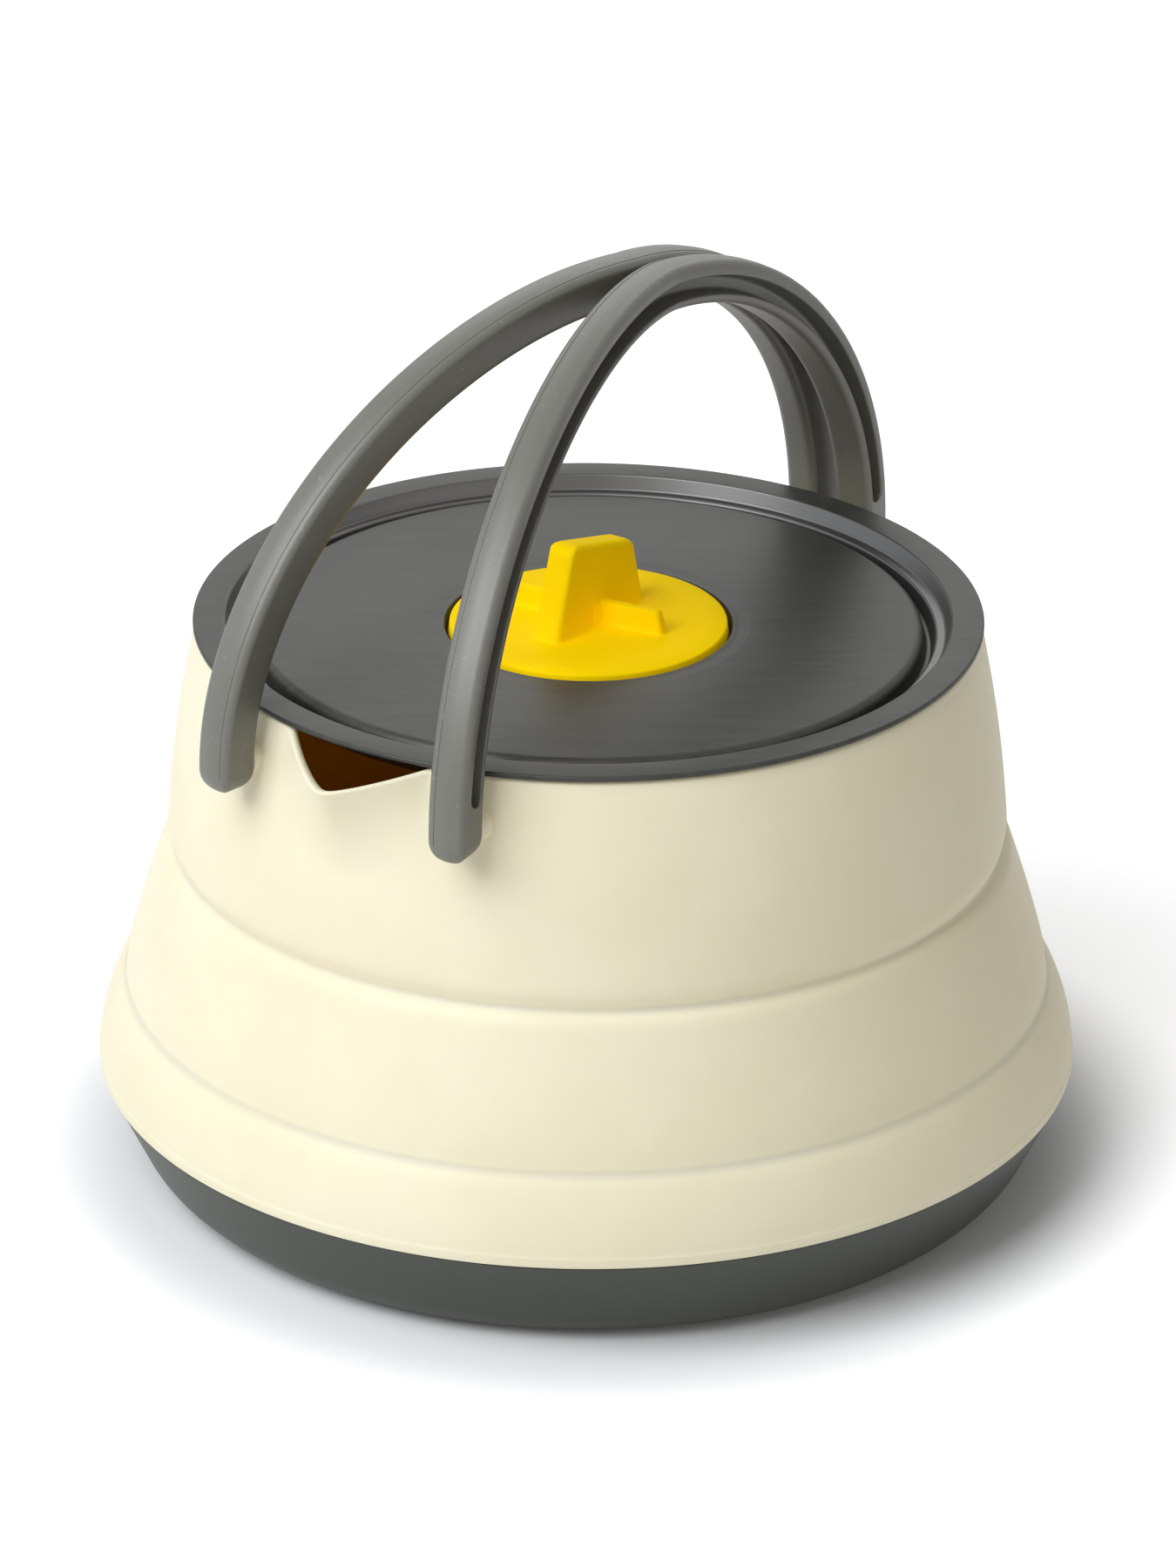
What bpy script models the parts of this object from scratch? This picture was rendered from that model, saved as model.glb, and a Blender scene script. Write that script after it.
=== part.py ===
"""Collapsible camping kettle with a folding silicone wall and two swinging bails.

Metres, +Z up. The origin is on the kettle's axis at the ground. The spout points to -Y, and the
bails swing about near front-to-back axes, one to each side.
"""
import math

import bmesh
import bpy
from mathutils import Matrix, Vector

# Clearances
GAP = 0.0003
PIN_CLEARANCE = 0.0003
FOOT_STANDOFF_FRONT = 0.0020
FOOT_STANDOFF_REAR = 0.0050
PIVOT_SPOUT_CLEARANCE = 0.0051
LID_STEP_CLEARANCE = 0.0016
LID_PLUG_CLEARANCE = 0.0033
CUT_OVERRUN = 0.0040

# Heights of the stack, from the ground up
PAN_HEIGHT = 0.0175
LOWER_TIER_HEIGHT = 0.0141
FOLD_HEIGHT = 0.0247
UPPER_TIER_HEIGHT = 0.0369

# Outer radii of the body
PAN_RADIUS = 0.0803
PAN_HEEL_RADIUS = 0.0100
PAN_FLARE = math.radians(25.0)
PAN_THICKNESS = 0.0012
PAN_NECK_HEIGHT = 0.0060
PAN_NECK_BEAD = 0.0006
LOWER_TIER_PROUD = 0.0002
LOWER_TIER_TAPER = 0.0038
FOLD_TAPER = 0.0076
UPPER_TIER_TAPER = 0.0053
WALL_THICKNESS = 0.0019
FOOT_LIP_HEIGHT = 0.0015
FOOT_LIP_DEPTH = 0.0003
SOFT_CREASE_DEPTH = 0.0003
SOFT_CREASE_HEIGHT = 0.0020
CREASE_DEPTH = 0.0007
CREASE_HEIGHT = 0.0034
SHOULDER_STEP = 0.0004
SHOULDER_HEIGHT = 0.0021
FOLD_BOW = 0.0003

# Pouring lip
SPOUT_HALF_WIDTH = 0.0138
SPOUT_REACH = 0.0092
SPOUT_DIP = 0.0037
SPOUT_LENGTH = 0.0200
SPOUT_SOFTNESS = math.radians(0.6)

# Stiffening ring inside the rim
RING_THICKNESS = 0.0013
RING_HEIGHT = 0.0126
RING_DROP = 0.0014
BOSS_RADIUS = 0.0028
BOSS_INSET = 0.0012

# Pivots of the bails
PIVOT_DROP = 0.0074
PIVOT_REAR_SPLAY = 0.0012
PIN_RADIUS = 0.0015
PIN_HEAD_RADIUS = 0.0024
PIN_HEAD_THICKNESS = 0.0009
PIN_ENGAGEMENT = 0.0042

# Bails
BAIL_WIDTH = 0.0066
BAIL_DEPTH = 0.0072
BAIL_CORNER = 0.0013
BAIL_CROWNING = 0.0003
BAIL_RISE = 0.0615
BAIL_CROWN_Y = 0.0064
BAIL_FOOT_LENGTH = 0.0042
BAIL_FRONT_FULLNESS = 1.916
BAIL_REAR_FULLNESS = 2.038
BAIL_MEET_FRONT_Y = 0.0152
BAIL_MEET_REAR_Y = 0.0446
BAIL_SPLAY_POWER = 1.16
GROOVE_WIDTH = 0.0031
GROOVE_DEPTH = 0.0032
GROOVE_OFFSET = 0.0005
GROOVE_START = 0.0044
GROOVE_END_LENGTH = 0.0012

# Lid
LID_OVERHANG = 0.0004
LID_THICKNESS = 0.0009
LID_LEDGE_WIDTH = 0.0013
LID_LEDGE_DEPTH = 0.0018
LID_CHANNEL_DEPTH = 0.0046
LID_CHANNEL_WIDTH = 0.0022
LID_CENTRE_DEPTH = 0.0029
LID_SHOULDER = 0.0014
LID_RECESS_DEPTH = 0.0007

# Knob
KNOB_RADIUS = 0.0226
KNOB_DISC_THICKNESS = 0.0016
KNOB_EDGE = 0.0005
KNOB_BOSS_RADIUS = 0.0040
FIN_LENGTH = 0.0232
FIN_TOP_LENGTH = 0.0190
FIN_WIDTH = 0.0052
FIN_TOP_WIDTH = 0.0049
FIN_FRONT_HEIGHT = 0.0172
FIN_REAR_HEIGHT = 0.0115
FIN_CORNER = 0.0022
CROSS_WALL_REACH = 0.0131
CROSS_WALL_HEIGHT = 0.0040
CROSS_WALL_WIDTH = 0.0024
BACKING_RADIUS = 0.0090
BACKING_THICKNESS = 0.0012
SCREW_RADIUS = 0.0013
SCREW_HEAD_RADIUS = 0.0028
SCREW_HEAD_THICKNESS = 0.0016
SCREW_DRIVE_RADIUS = 0.0011
SCREW_DRIVE_DEPTH = 0.0009
SCREW_GRIP = 0.0064

# Facets
TURN_STEPS = 56
HEEL_STEPS = 4
SPOUT_STEPS = 12
SMALL_STEPS = 12
ARCH_STEPS = 16
FOOT_STEPS = 3

# Levels and radii that follow from the sizes above
FOLD_LOW_Z = PAN_HEIGHT + LOWER_TIER_HEIGHT
FOLD_HIGH_Z = FOLD_LOW_Z + FOLD_HEIGHT
RIM_Z = FOLD_HIGH_Z + UPPER_TIER_HEIGHT
LOWER_TIER_RADIUS = PAN_RADIUS + LOWER_TIER_PROUD
LOWER_TIER_TOP_RADIUS = PAN_RADIUS - LOWER_TIER_TAPER
UPPER_TIER_RADIUS = LOWER_TIER_TOP_RADIUS - FOLD_TAPER
RIM_RADIUS = UPPER_TIER_RADIUS - UPPER_TIER_TAPER
SPOUT_HALF_ANGLE = math.asin(SPOUT_HALF_WIDTH / RIM_RADIUS)
FLANGE_Z = RIM_Z + GAP
LID_TOP_Z = FLANGE_Z + LID_THICKNESS
PIVOT_Z = RIM_Z - PIVOT_DROP
SPOUT_FOOT_Z = RIM_Z - SPOUT_LENGTH


def upper_tier_radius(z):
    """Outer radius of the top tier, a gentle flare from the rim down to the first crease."""
    share = (RIM_Z - z) / UPPER_TIER_HEIGHT
    bow_share = 0.14 * math.sin(math.pi * share)
    return RIM_RADIUS + (UPPER_TIER_RADIUS - RIM_RADIUS) * (share + bow_share)


def ring_outer_radius(z):
    """The stiffening ring follows the inside of the top tier."""
    return upper_tier_radius(z) - WALL_THICKNESS - GAP


WALL_AT_PIVOT = upper_tier_radius(PIVOT_Z)
BAIL_MEET_X = BAIL_WIDTH / 2 + GAP
PIVOT_FRONT_X = SPOUT_HALF_WIDTH + PIVOT_SPOUT_CLEARANCE + BAIL_WIDTH / 2
PIVOT_REAR_X = BAIL_MEET_X + PIVOT_REAR_SPLAY
FRONT_LEG_RADIUS = WALL_AT_PIVOT + FOOT_STANDOFF_FRONT + BAIL_DEPTH / 2
REAR_LEG_RADIUS = WALL_AT_PIVOT + FOOT_STANDOFF_REAR + BAIL_DEPTH / 2
PIVOT_FRONT_Y = -math.sqrt(FRONT_LEG_RADIUS ** 2 - PIVOT_FRONT_X ** 2)
PIVOT_REAR_Y = math.sqrt(REAR_LEG_RADIUS ** 2 - PIVOT_REAR_X ** 2)
RING_TOP_Z = RIM_Z - RING_DROP
RING_LOW_Z = RING_TOP_Z - RING_HEIGHT
RING_MOUTH_RADIUS = ring_outer_radius(RING_TOP_Z) - RING_THICKNESS
RING_AT_PIVOT = ring_outer_radius(PIVOT_Z) - RING_THICKNESS
LID_RADIUS = RIM_RADIUS + LID_OVERHANG
LID_STEP_RADIUS = RING_MOUTH_RADIUS - LID_STEP_CLEARANCE
LID_CHANNEL_RADIUS = RING_MOUTH_RADIUS - LID_PLUG_CLEARANCE - LID_THICKNESS * 0.7
LID_CENTRE_RADIUS = LID_CHANNEL_RADIUS - LID_CHANNEL_WIDTH
LID_CENTRE_Z = LID_TOP_Z - LID_CENTRE_DEPTH
LID_SEAT_Z = LID_CENTRE_Z - LID_RECESS_DEPTH
KNOB_UNDER_Z = LID_SEAT_Z + GAP
KNOB_TOP_Z = KNOB_UNDER_Z + KNOB_DISC_THICKNESS
BACKING_TOP_Z = LID_SEAT_Z - LID_THICKNESS - GAP
SCREW_SEAT_Z = BACKING_TOP_Z - BACKING_THICKNESS - GAP


def clear_scene():
    for item in list(bpy.data.objects):
        bpy.data.objects.remove(item, do_unlink=True)


def finish_material(name, colour, roughness, metallic=0.0):
    material = bpy.data.materials.new(name + "_finish")
    material.use_nodes = True
    shader = material.node_tree.nodes["Principled BSDF"]
    shader.inputs["Base Color"].default_value = (*colour, 1.0)
    shader.inputs["Roughness"].default_value = roughness
    shader.inputs["Metallic"].default_value = metallic
    return material


def add_part(name, bm, material, origin=(0, 0, 0)):
    """Turn a mesh in world coordinates into an object whose origin is at the given point."""
    bmesh.ops.recalc_face_normals(bm, faces=bm.faces)
    bmesh.ops.translate(bm, verts=bm.verts, vec=-Vector(origin))
    mesh = bpy.data.meshes.new(name)
    bm.to_mesh(mesh)
    bm.free()
    mesh.shade_smooth()
    mesh.set_sharp_from_angle(angle=math.radians(35))
    part = bpy.data.objects.new(name, mesh)
    part.location = origin
    bpy.context.scene.collection.objects.link(part)
    if material is not None:
        mesh.materials.append(material)
    return part


def add_guide(name, bm, origin=(0, 0, 0)):
    guide = add_part(name, bm, None, origin)
    guide.hide_render = True
    guide.display_type = "WIRE"
    return guide


def cut(part, guide, operation="DIFFERENCE"):
    modifier = part.modifiers.new(guide.name, "BOOLEAN")
    modifier.object = guide
    modifier.operation = operation


def bridge_sections(bm, sections, closed):
    """Skin rings of points, one ring after the other, and cap the ends unless the tube closes."""
    rings = [[bm.verts.new(point) for point in section] for section in sections]
    pairs = list(zip(rings, rings[1:]))
    if closed:
        pairs.append((rings[-1], rings[0]))
    for first, second in pairs:
        for i in range(len(first)):
            j = (i + 1) % len(first)
            bm.faces.new((first[i], first[j], second[j], second[i]))
    if not closed:
        bm.faces.new(rings[0])
        bm.faces.new(reversed(rings[-1]))


def even_angles(steps):
    return [2 * math.pi * i / steps for i in range(steps)]


def spout_angles():
    """Angles round the rim, closer together across the spout, where angle 0 is."""
    reach = SPOUT_HALF_ANGLE * (1 + 2 / SPOUT_STEPS)
    fine = [reach * (2 * i / SPOUT_STEPS - 1) for i in range(SPOUT_STEPS)]
    rest = 2 * (math.pi - reach)
    steps = round(TURN_STEPS * rest / (2 * math.pi))
    return fine + [reach + rest * i / steps for i in range(steps)]


def from_spout(angle, radius, z):
    """A point at an angle from the spout's direction, positive towards +X."""
    return Vector((radius * math.sin(angle), -radius * math.cos(angle), z))


def turned(outline, angles=None, shape=None, closed=True):
    """Carry a closed outline of (radius, height) points round the axis."""
    bm = bmesh.new()
    sections = []
    for angle in angles or even_angles(TURN_STEPS):
        points = [shape(angle, r, z) if shape else (r, z) for r, z in outline]
        sections.append([from_spout(angle, r, z) for r, z in points])
    bridge_sections(bm, sections, closed)
    return bm


def turned_solid(outline, steps=TURN_STEPS):
    """Spin an open outline that starts and ends on the axis."""
    bm = bmesh.new()
    verts = [bm.verts.new((r, 0, z)) for r, z in outline]
    edges = [bm.edges.new(pair) for pair in zip(verts, verts[1:])]
    bmesh.ops.spin(bm, geom=verts + edges, cent=(0, 0, 0), axis=(0, 0, 1), angle=2 * math.pi,
                   steps=steps, use_merge=True)
    bmesh.ops.remove_doubles(bm, verts=bm.verts, dist=GAP / 30)
    return bm


def along(bm, start, direction):
    """Move a mesh made along +Z so that it starts at a point and runs in a direction."""
    turn = Vector((0, 0, 1)).rotation_difference(direction).to_matrix().to_4x4()
    bmesh.ops.transform(bm, matrix=Matrix.Translation(start) @ turn, verts=bm.verts)
    return bm


def rod(radius, start, end, steps=SMALL_STEPS):
    length = (end - start).length
    outline = [(0, 0), (radius, 0), (radius, length), (0, length)]
    return along(turned_solid(outline, steps), start, (end - start).normalized())


def merged(meshes):
    """Put several meshes into one, as separate bodies."""
    whole = bmesh.new()
    for bm in meshes:
        mesh = bpy.data.meshes.new("piece")
        bm.to_mesh(mesh)
        bm.free()
        whole.from_mesh(mesh)
        bpy.data.meshes.remove(mesh)
    return whole


def arc(centre, radius, start, end, steps):
    """Points on an arc in the radius and height plane, angles from the +radius direction."""
    turns = [start + (end - start) * i / steps for i in range(steps + 1)]
    return [(centre[0] + radius * math.cos(t), centre[1] + radius * math.sin(t)) for t in turns]


# Pan

def pan_outline():
    side_run = PAN_HEIGHT * math.tan(PAN_FLARE)
    corner = PAN_RADIUS - side_run
    heel_tangent = PAN_HEEL_RADIUS * math.tan((math.pi / 2 - PAN_FLARE) / 2)
    heel = (corner - heel_tangent, PAN_HEEL_RADIUS)
    neck = LOWER_TIER_RADIUS - WALL_THICKNESS - GAP
    neck_top = PAN_HEIGHT + PAN_NECK_HEIGHT
    outer = arc(heel, PAN_HEEL_RADIUS, -math.pi / 2, -PAN_FLARE, HEEL_STEPS)
    inner = arc(heel, PAN_HEEL_RADIUS - PAN_THICKNESS, -PAN_FLARE, -math.pi / 2, HEEL_STEPS)
    bead_low = neck_top - PAN_NECK_HEIGHT / 2
    return ([(0, 0)] + outer
            + [(PAN_RADIUS, PAN_HEIGHT - GAP),
               (neck - PAN_NECK_BEAD, PAN_HEIGHT - GAP),
               (neck - PAN_NECK_BEAD, bead_low),
               (neck, bead_low + PAN_NECK_BEAD),
               (neck, neck_top),
               (neck - PAN_THICKNESS, neck_top),
               (neck - PAN_NECK_BEAD - PAN_THICKNESS, PAN_HEIGHT - GAP - PAN_THICKNESS)]
            + inner + [(0, PAN_THICKNESS)])


def make_pan():
    finish = finish_material("base_pan", (0.095, 0.095, 0.088), 0.48, 0.6)
    return add_part("base_pan", turned_solid(pan_outline()), finish)


# Silicone wall, three tiers

def lower_tier_outer():
    """Outer points from the pan's edge up to the second crease."""
    bulge = LOWER_TIER_HEIGHT - FOOT_LIP_HEIGHT - SOFT_CREASE_HEIGHT
    drop = LOWER_TIER_RADIUS - LOWER_TIER_TOP_RADIUS
    lip_top = PAN_HEIGHT + FOOT_LIP_HEIGHT
    belly = [(LOWER_TIER_RADIUS - drop * share ** 1.7, lip_top + FOOT_LIP_DEPTH + bulge * share)
             for share in (0, 0.25, 0.5, 0.75, 0.95)]
    return ([(LOWER_TIER_RADIUS + FOOT_LIP_DEPTH, PAN_HEIGHT),
             (LOWER_TIER_RADIUS + FOOT_LIP_DEPTH, lip_top)]
            + belly + [(LOWER_TIER_TOP_RADIUS - SOFT_CREASE_DEPTH, FOLD_LOW_Z - GAP / 2)])


def fold_outer():
    """Outer points of the cone that turns inside out."""
    shoulder = UPPER_TIER_RADIUS + SHOULDER_STEP
    cone_low = FOLD_LOW_Z + SOFT_CREASE_HEIGHT
    cone = FOLD_HEIGHT - SOFT_CREASE_HEIGHT - SHOULDER_HEIGHT
    base = LOWER_TIER_TOP_RADIUS - SOFT_CREASE_DEPTH
    points = [(base, FOLD_LOW_Z + GAP / 2)]
    for share in (0, 0.33, 0.66, 1):
        bow = FOLD_BOW * math.sin(math.pi * share)
        points.append((base - SOFT_CREASE_DEPTH / 2 + (shoulder - base) * share + bow,
                       cone_low + cone * share))
    points.append((UPPER_TIER_RADIUS - CREASE_DEPTH, FOLD_HIGH_Z - GAP / 2))
    return points


def upper_tier_outer():
    """Outer points from the first crease up to the rim."""
    low = FOLD_HIGH_Z + GAP / 2
    shares = (0.25, 0.46, 0.67, 0.85)
    body = [FOLD_HIGH_Z + UPPER_TIER_HEIGHT * share for share in shares]
    heel = FOLD_HIGH_Z + CREASE_HEIGHT
    edge = WALL_THICKNESS / 4
    return ([(UPPER_TIER_RADIUS - CREASE_DEPTH, low),
             (upper_tier_radius(heel), heel)]
            + [(upper_tier_radius(z), z) for z in body]
            + [(RIM_RADIUS, RIM_Z - edge), (RIM_RADIUS - edge, RIM_Z)])


def wall_outline(outer):
    """Close an outer line with an inner one, the wall's thickness inside it."""
    inner = [(r - WALL_THICKNESS, z) for r, z in outer]
    return outer + inner[::-1]


def lower_tier_outline():
    outer = lower_tier_outer()
    neck = LOWER_TIER_RADIUS - WALL_THICKNESS
    neck_top = PAN_HEIGHT + PAN_NECK_HEIGHT + GAP
    inner = [(r - WALL_THICKNESS, z) for r, z in outer if z > neck_top]
    return outer + inner[::-1] + [(neck, neck_top), (neck, PAN_HEIGHT)]


def upper_tier_outline():
    outer = upper_tier_outer()
    edge = WALL_THICKNESS / 4
    inner = [(r - WALL_THICKNESS, z) for r, z in outer[:-1]]
    return outer + [(RIM_RADIUS - WALL_THICKNESS + edge, RIM_Z)] + inner[::-1]


def spout_shape(angle, radius, z):
    """Pinch the rim outwards and downwards into a V that fades out down the wall."""
    turn = math.atan2(math.sin(angle), math.cos(angle))
    edge = math.hypot(turn, SPOUT_SOFTNESS) - SPOUT_SOFTNESS
    span = math.hypot(SPOUT_HALF_ANGLE, SPOUT_SOFTNESS) - SPOUT_SOFTNESS
    open_share = max(0.0, 1 - edge / span)
    rise_share = max(0.0, (z - SPOUT_FOOT_Z) / SPOUT_LENGTH)
    reach = SPOUT_REACH * open_share * rise_share ** 1.5
    return radius + reach, z - SPOUT_DIP * open_share * rise_share


def make_walls():
    cream = (0.83, 0.79, 0.64)
    lower = add_part("lower_wall", turned(lower_tier_outline()),
                     finish_material("lower_wall", cream, 0.55))
    fold = add_part("fold_wall", turned(wall_outline(fold_outer())),
                    finish_material("fold_wall", cream, 0.55))
    upper = add_part("upper_wall", turned(upper_tier_outline(), spout_angles(), spout_shape),
                     finish_material("upper_wall", cream, 0.55))
    holes = merged([rod(BOSS_RADIUS + GAP, *boss_span(side, end, CUT_OVERRUN / 2))
                    for side in (-1, 1) for end in ("front", "rear")])
    cut(upper, add_guide("boss_hole_guide", holes))
    return lower, fold, upper


# Pivot line of each bail

def pivot_point(side, end):
    if end == "front":
        return Vector((side * PIVOT_FRONT_X, PIVOT_FRONT_Y, PIVOT_Z))
    return Vector((side * PIVOT_REAR_X, PIVOT_REAR_Y, PIVOT_Z))


def outward(side, end):
    """Direction of the pivot line, pointing out of the kettle at this end."""
    line = (pivot_point(side, "front") - pivot_point(side, "rear")).normalized()
    return line if end == "front" else -line


def foot_face(side, end):
    """Where the pivot line meets the foot's face that looks at the wall."""
    return pivot_point(side, end) - outward(side, end) * BAIL_DEPTH / 2


def boss_seat(side, end):
    """Where the pivot line meets the flat inner end of the boss."""
    start = foot_face(side, end)
    direction = outward(side, end)
    plan = Vector((start.x, start.y, 0))
    b = plan.dot(direction)
    c = plan.length_squared - RING_AT_PIVOT ** 2
    return start - direction * (b - math.sqrt(b * b - c) + BOSS_INSET)


def boss_span(side, end, overrun=0.0):
    direction = outward(side, end)
    return (boss_seat(side, end) - direction * overrun,
            foot_face(side, end) - direction * (GAP - overrun))


# Stiffening ring

def make_ring():
    levels = (RING_LOW_Z, (RING_LOW_Z + RING_TOP_Z) / 2, RING_TOP_Z)
    outer = [(ring_outer_radius(z), z) for z in levels]
    outline = outer + [(r - RING_THICKNESS, z) for r, z in reversed(outer)]
    opening = SPOUT_HALF_ANGLE
    sweep = 2 * (math.pi - opening)
    angles = [opening + sweep * i / TURN_STEPS for i in range(TURN_STEPS + 1)]
    ring = add_part("rim_ring", turned(outline, angles, closed=False),
                    finish_material("rim_ring", (0.16, 0.16, 0.155), 0.6))
    ends = [(side, end) for side in (-1, 1) for end in ("front", "rear")]
    bosses = merged([rod(BOSS_RADIUS, *boss_span(*place)) for place in ends])
    bores = merged([rod(PIN_RADIUS + PIN_CLEARANCE, *boss_span(*place, CUT_OVERRUN))
                    for place in ends])
    cut(ring, add_guide("boss_guide", bosses), "UNION")
    cut(ring, add_guide("boss_bore_guide", bores))
    return ring


def make_pins():
    pins = []
    for side, side_name in ((-1, "left"), (1, "right")):
        for end in ("front", "rear"):
            name = "pivot_pin_" + end + "_" + side_name
            seat = boss_seat(side, end) - outward(side, end) * GAP
            tip = foot_face(side, end) + outward(side, end) * (PIN_ENGAGEMENT - PIN_CLEARANCE)
            length = (tip - seat).length
            chamfer = PIN_RADIUS / 4
            outline = [(0, -PIN_HEAD_THICKNESS), (PIN_HEAD_RADIUS - chamfer, -PIN_HEAD_THICKNESS),
                       (PIN_HEAD_RADIUS, chamfer - PIN_HEAD_THICKNESS), (PIN_HEAD_RADIUS, 0),
                       (PIN_RADIUS, 0), (PIN_RADIUS, length - chamfer),
                       (PIN_RADIUS - chamfer, length), (0, length)]
            pin = along(turned_solid(outline, SMALL_STEPS), seat, outward(side, end))
            finish = finish_material(name, (0.62, 0.62, 0.60), 0.3, 1.0)
            pins.append(add_part(name, pin, finish, pivot_point(side, end)))
    return pins


# Bails

def bail_x(y):
    """Distance of the bail's centre from the middle plane: both bails meet along the crown."""
    if y < BAIL_MEET_FRONT_Y:
        share = (BAIL_MEET_FRONT_Y - y) / (BAIL_MEET_FRONT_Y - PIVOT_FRONT_Y)
        return BAIL_MEET_X + (PIVOT_FRONT_X - BAIL_MEET_X) * share ** BAIL_SPLAY_POWER
    if y > BAIL_MEET_REAR_Y:
        share = (y - BAIL_MEET_REAR_Y) / (PIVOT_REAR_Y - BAIL_MEET_REAR_Y)
        return BAIL_MEET_X + (PIVOT_REAR_X - BAIL_MEET_X) * share ** BAIL_SPLAY_POWER
    return BAIL_MEET_X


def arch_point(turn):
    """Centre of the arch: turn 0 is the front pivot, pi/2 the crown and pi the rear pivot."""
    across, up = abs(math.cos(turn)), math.sin(turn)
    if turn < math.pi / 2:
        y = BAIL_CROWN_Y - (BAIL_CROWN_Y - PIVOT_FRONT_Y) * across ** (2 / BAIL_FRONT_FULLNESS)
        return y, PIVOT_Z + BAIL_RISE * up ** (2 / BAIL_FRONT_FULLNESS)
    y = BAIL_CROWN_Y + (PIVOT_REAR_Y - BAIL_CROWN_Y) * across ** (2 / BAIL_REAR_FULLNESS)
    return y, PIVOT_Z + BAIL_RISE * max(0.0, up) ** (2 / BAIL_REAR_FULLNESS)


def bail_section(groove_share, size_share):
    """Rounded section, (sideways, outwards of the arch), with the groove in its far side face.

    The groove sits nearer to the hand's side of the bail than to the arch's outer side.
    """
    half, deep = BAIL_WIDTH / 2 * size_share, BAIL_DEPTH / 2 * (0.4 + 0.6 * size_share)
    corner = BAIL_CORNER * size_share
    cut_in = corner * (1 - math.sqrt(0.5))
    groove = GROOVE_WIDTH / 2 * size_share
    middle = -GROOVE_OFFSET * size_share
    floor = half - GROOVE_DEPTH * groove_share
    floor_half = groove * 0.8
    return [(-half, corner - deep), (-half, deep - corner),
            (cut_in - half, deep - cut_in), (corner - half, deep),
            (0, deep + BAIL_CROWNING * size_share),
            (half - corner, deep), (half - cut_in, deep - cut_in), (half, deep - corner),
            (half, middle + groove), (floor, middle + floor_half),
            (floor, middle - floor_half), (half, middle - groove),
            (half, corner - deep), (half - cut_in, cut_in - deep), (half - corner, -deep),
            (corner - half, -deep), (cut_in - half, cut_in - deep)]


def bail_stations():
    """Centre points (y, z) along the bail with the shares of its groove and its size there."""
    straight = BAIL_FOOT_LENGTH - BAIL_WIDTH / 2
    foot = []
    for i in range(FOOT_STEPS):
        turn = math.pi / 2 * (i + 0.6) / FOOT_STEPS
        foot.append((-straight - BAIL_WIDTH / 2 * math.cos(turn), math.sin(turn)))
    foot.append((-straight, 1.0))
    foot.append((0.0, 1.0))
    front = [(PIVOT_FRONT_Y, PIVOT_Z + drop, 0.0, share) for drop, share in foot]
    rear = [(PIVOT_REAR_Y, PIVOT_Z + drop, 0.0, share) for drop, share in foot[::-1]]
    arch = []
    for i in range(1, 2 * ARCH_STEPS):
        y, z = arch_point(math.pi * i / (2 * ARCH_STEPS))
        rise = z - PIVOT_Z
        groove_share = min(1.0, max(0.0, (rise - GROOVE_START) / GROOVE_END_LENGTH))
        arch.append((y, z, groove_share, 1.0))
    return front + arch + rear


def make_bail(side, name):
    stations = bail_stations()
    centres = [Vector((side * bail_x(y), y, z)) for y, z, _, _ in stations]
    across_pivots = outward(side, "rear").cross(Vector((0, 0, side)))
    sections = []
    for i, (_, _, groove_share, size_share) in enumerate(stations):
        before, after = centres[max(i - 1, 0)], centres[min(i + 1, len(centres) - 1)]
        forward = (after - before).normalized()
        sideways = (across_pivots - forward * across_pivots.dot(forward)).normalized()
        out = sideways.cross(forward) * side
        sections.append([centres[i] + sideways * a + out * b
                         for a, b in bail_section(groove_share, size_share)])
    bm = bmesh.new()
    bridge_sections(bm, sections, closed=False)
    finish = finish_material(name, (0.19, 0.185, 0.165), 0.55)
    bail = add_part(name, bm, finish, pivot_point(side, "front"))
    bores = []
    for end in ("front", "rear"):
        mouth = foot_face(side, end) - outward(side, end) * CUT_OVERRUN / 2
        bottom = foot_face(side, end) + outward(side, end) * PIN_ENGAGEMENT
        bores.append(rod(PIN_RADIUS + PIN_CLEARANCE, mouth, bottom))
    cut(bail, add_guide(name + "_bore_guide", merged(bores)))
    return bail


# Lid

def lid_outline():
    """Top line from the edge to the centre hole, and the same line one thickness lower."""
    ledge_out = LID_STEP_RADIUS - LID_LEDGE_WIDTH / 2
    ledge_in = ledge_out - LID_LEDGE_WIDTH
    channel_in = LID_CENTRE_RADIUS + LID_CHANNEL_WIDTH / 3
    recess = KNOB_RADIUS + 2 * GAP
    hole = KNOB_BOSS_RADIUS + GAP
    top = [(LID_RADIUS, LID_TOP_Z),
           (LID_STEP_RADIUS, LID_TOP_Z),
           (ledge_out, LID_TOP_Z - LID_LEDGE_DEPTH * 0.8),
           (ledge_in, LID_TOP_Z - LID_LEDGE_DEPTH),
           (LID_CHANNEL_RADIUS, LID_TOP_Z - LID_CHANNEL_DEPTH),
           (channel_in, LID_TOP_Z - LID_CHANNEL_DEPTH),
           (LID_CENTRE_RADIUS, LID_CENTRE_Z - LID_SHOULDER / 2),
           (LID_CENTRE_RADIUS - LID_SHOULDER, LID_CENTRE_Z),
           (recess + LID_RECESS_DEPTH, LID_CENTRE_Z),
           (recess, LID_SEAT_Z),
           (hole, LID_SEAT_Z)]
    under = [(r, z - LID_THICKNESS) for r, z in top]
    skin = LID_THICKNESS
    for i in (1, 2, 3, 4):
        under[i] = (under[i][0] + skin * 0.7, under[i][1])
    under[6] = (under[6][0] - skin * 0.7, under[6][1])
    for i in (8, 9):
        under[i] = (under[i][0] + skin * 0.4, under[i][1])
    return top + under[::-1]


def make_lid():
    finish = finish_material("lid_plate", (0.13, 0.13, 0.125), 0.45, 0.6)
    return add_part("lid_plate", turned(lid_outline()), finish)


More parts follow.
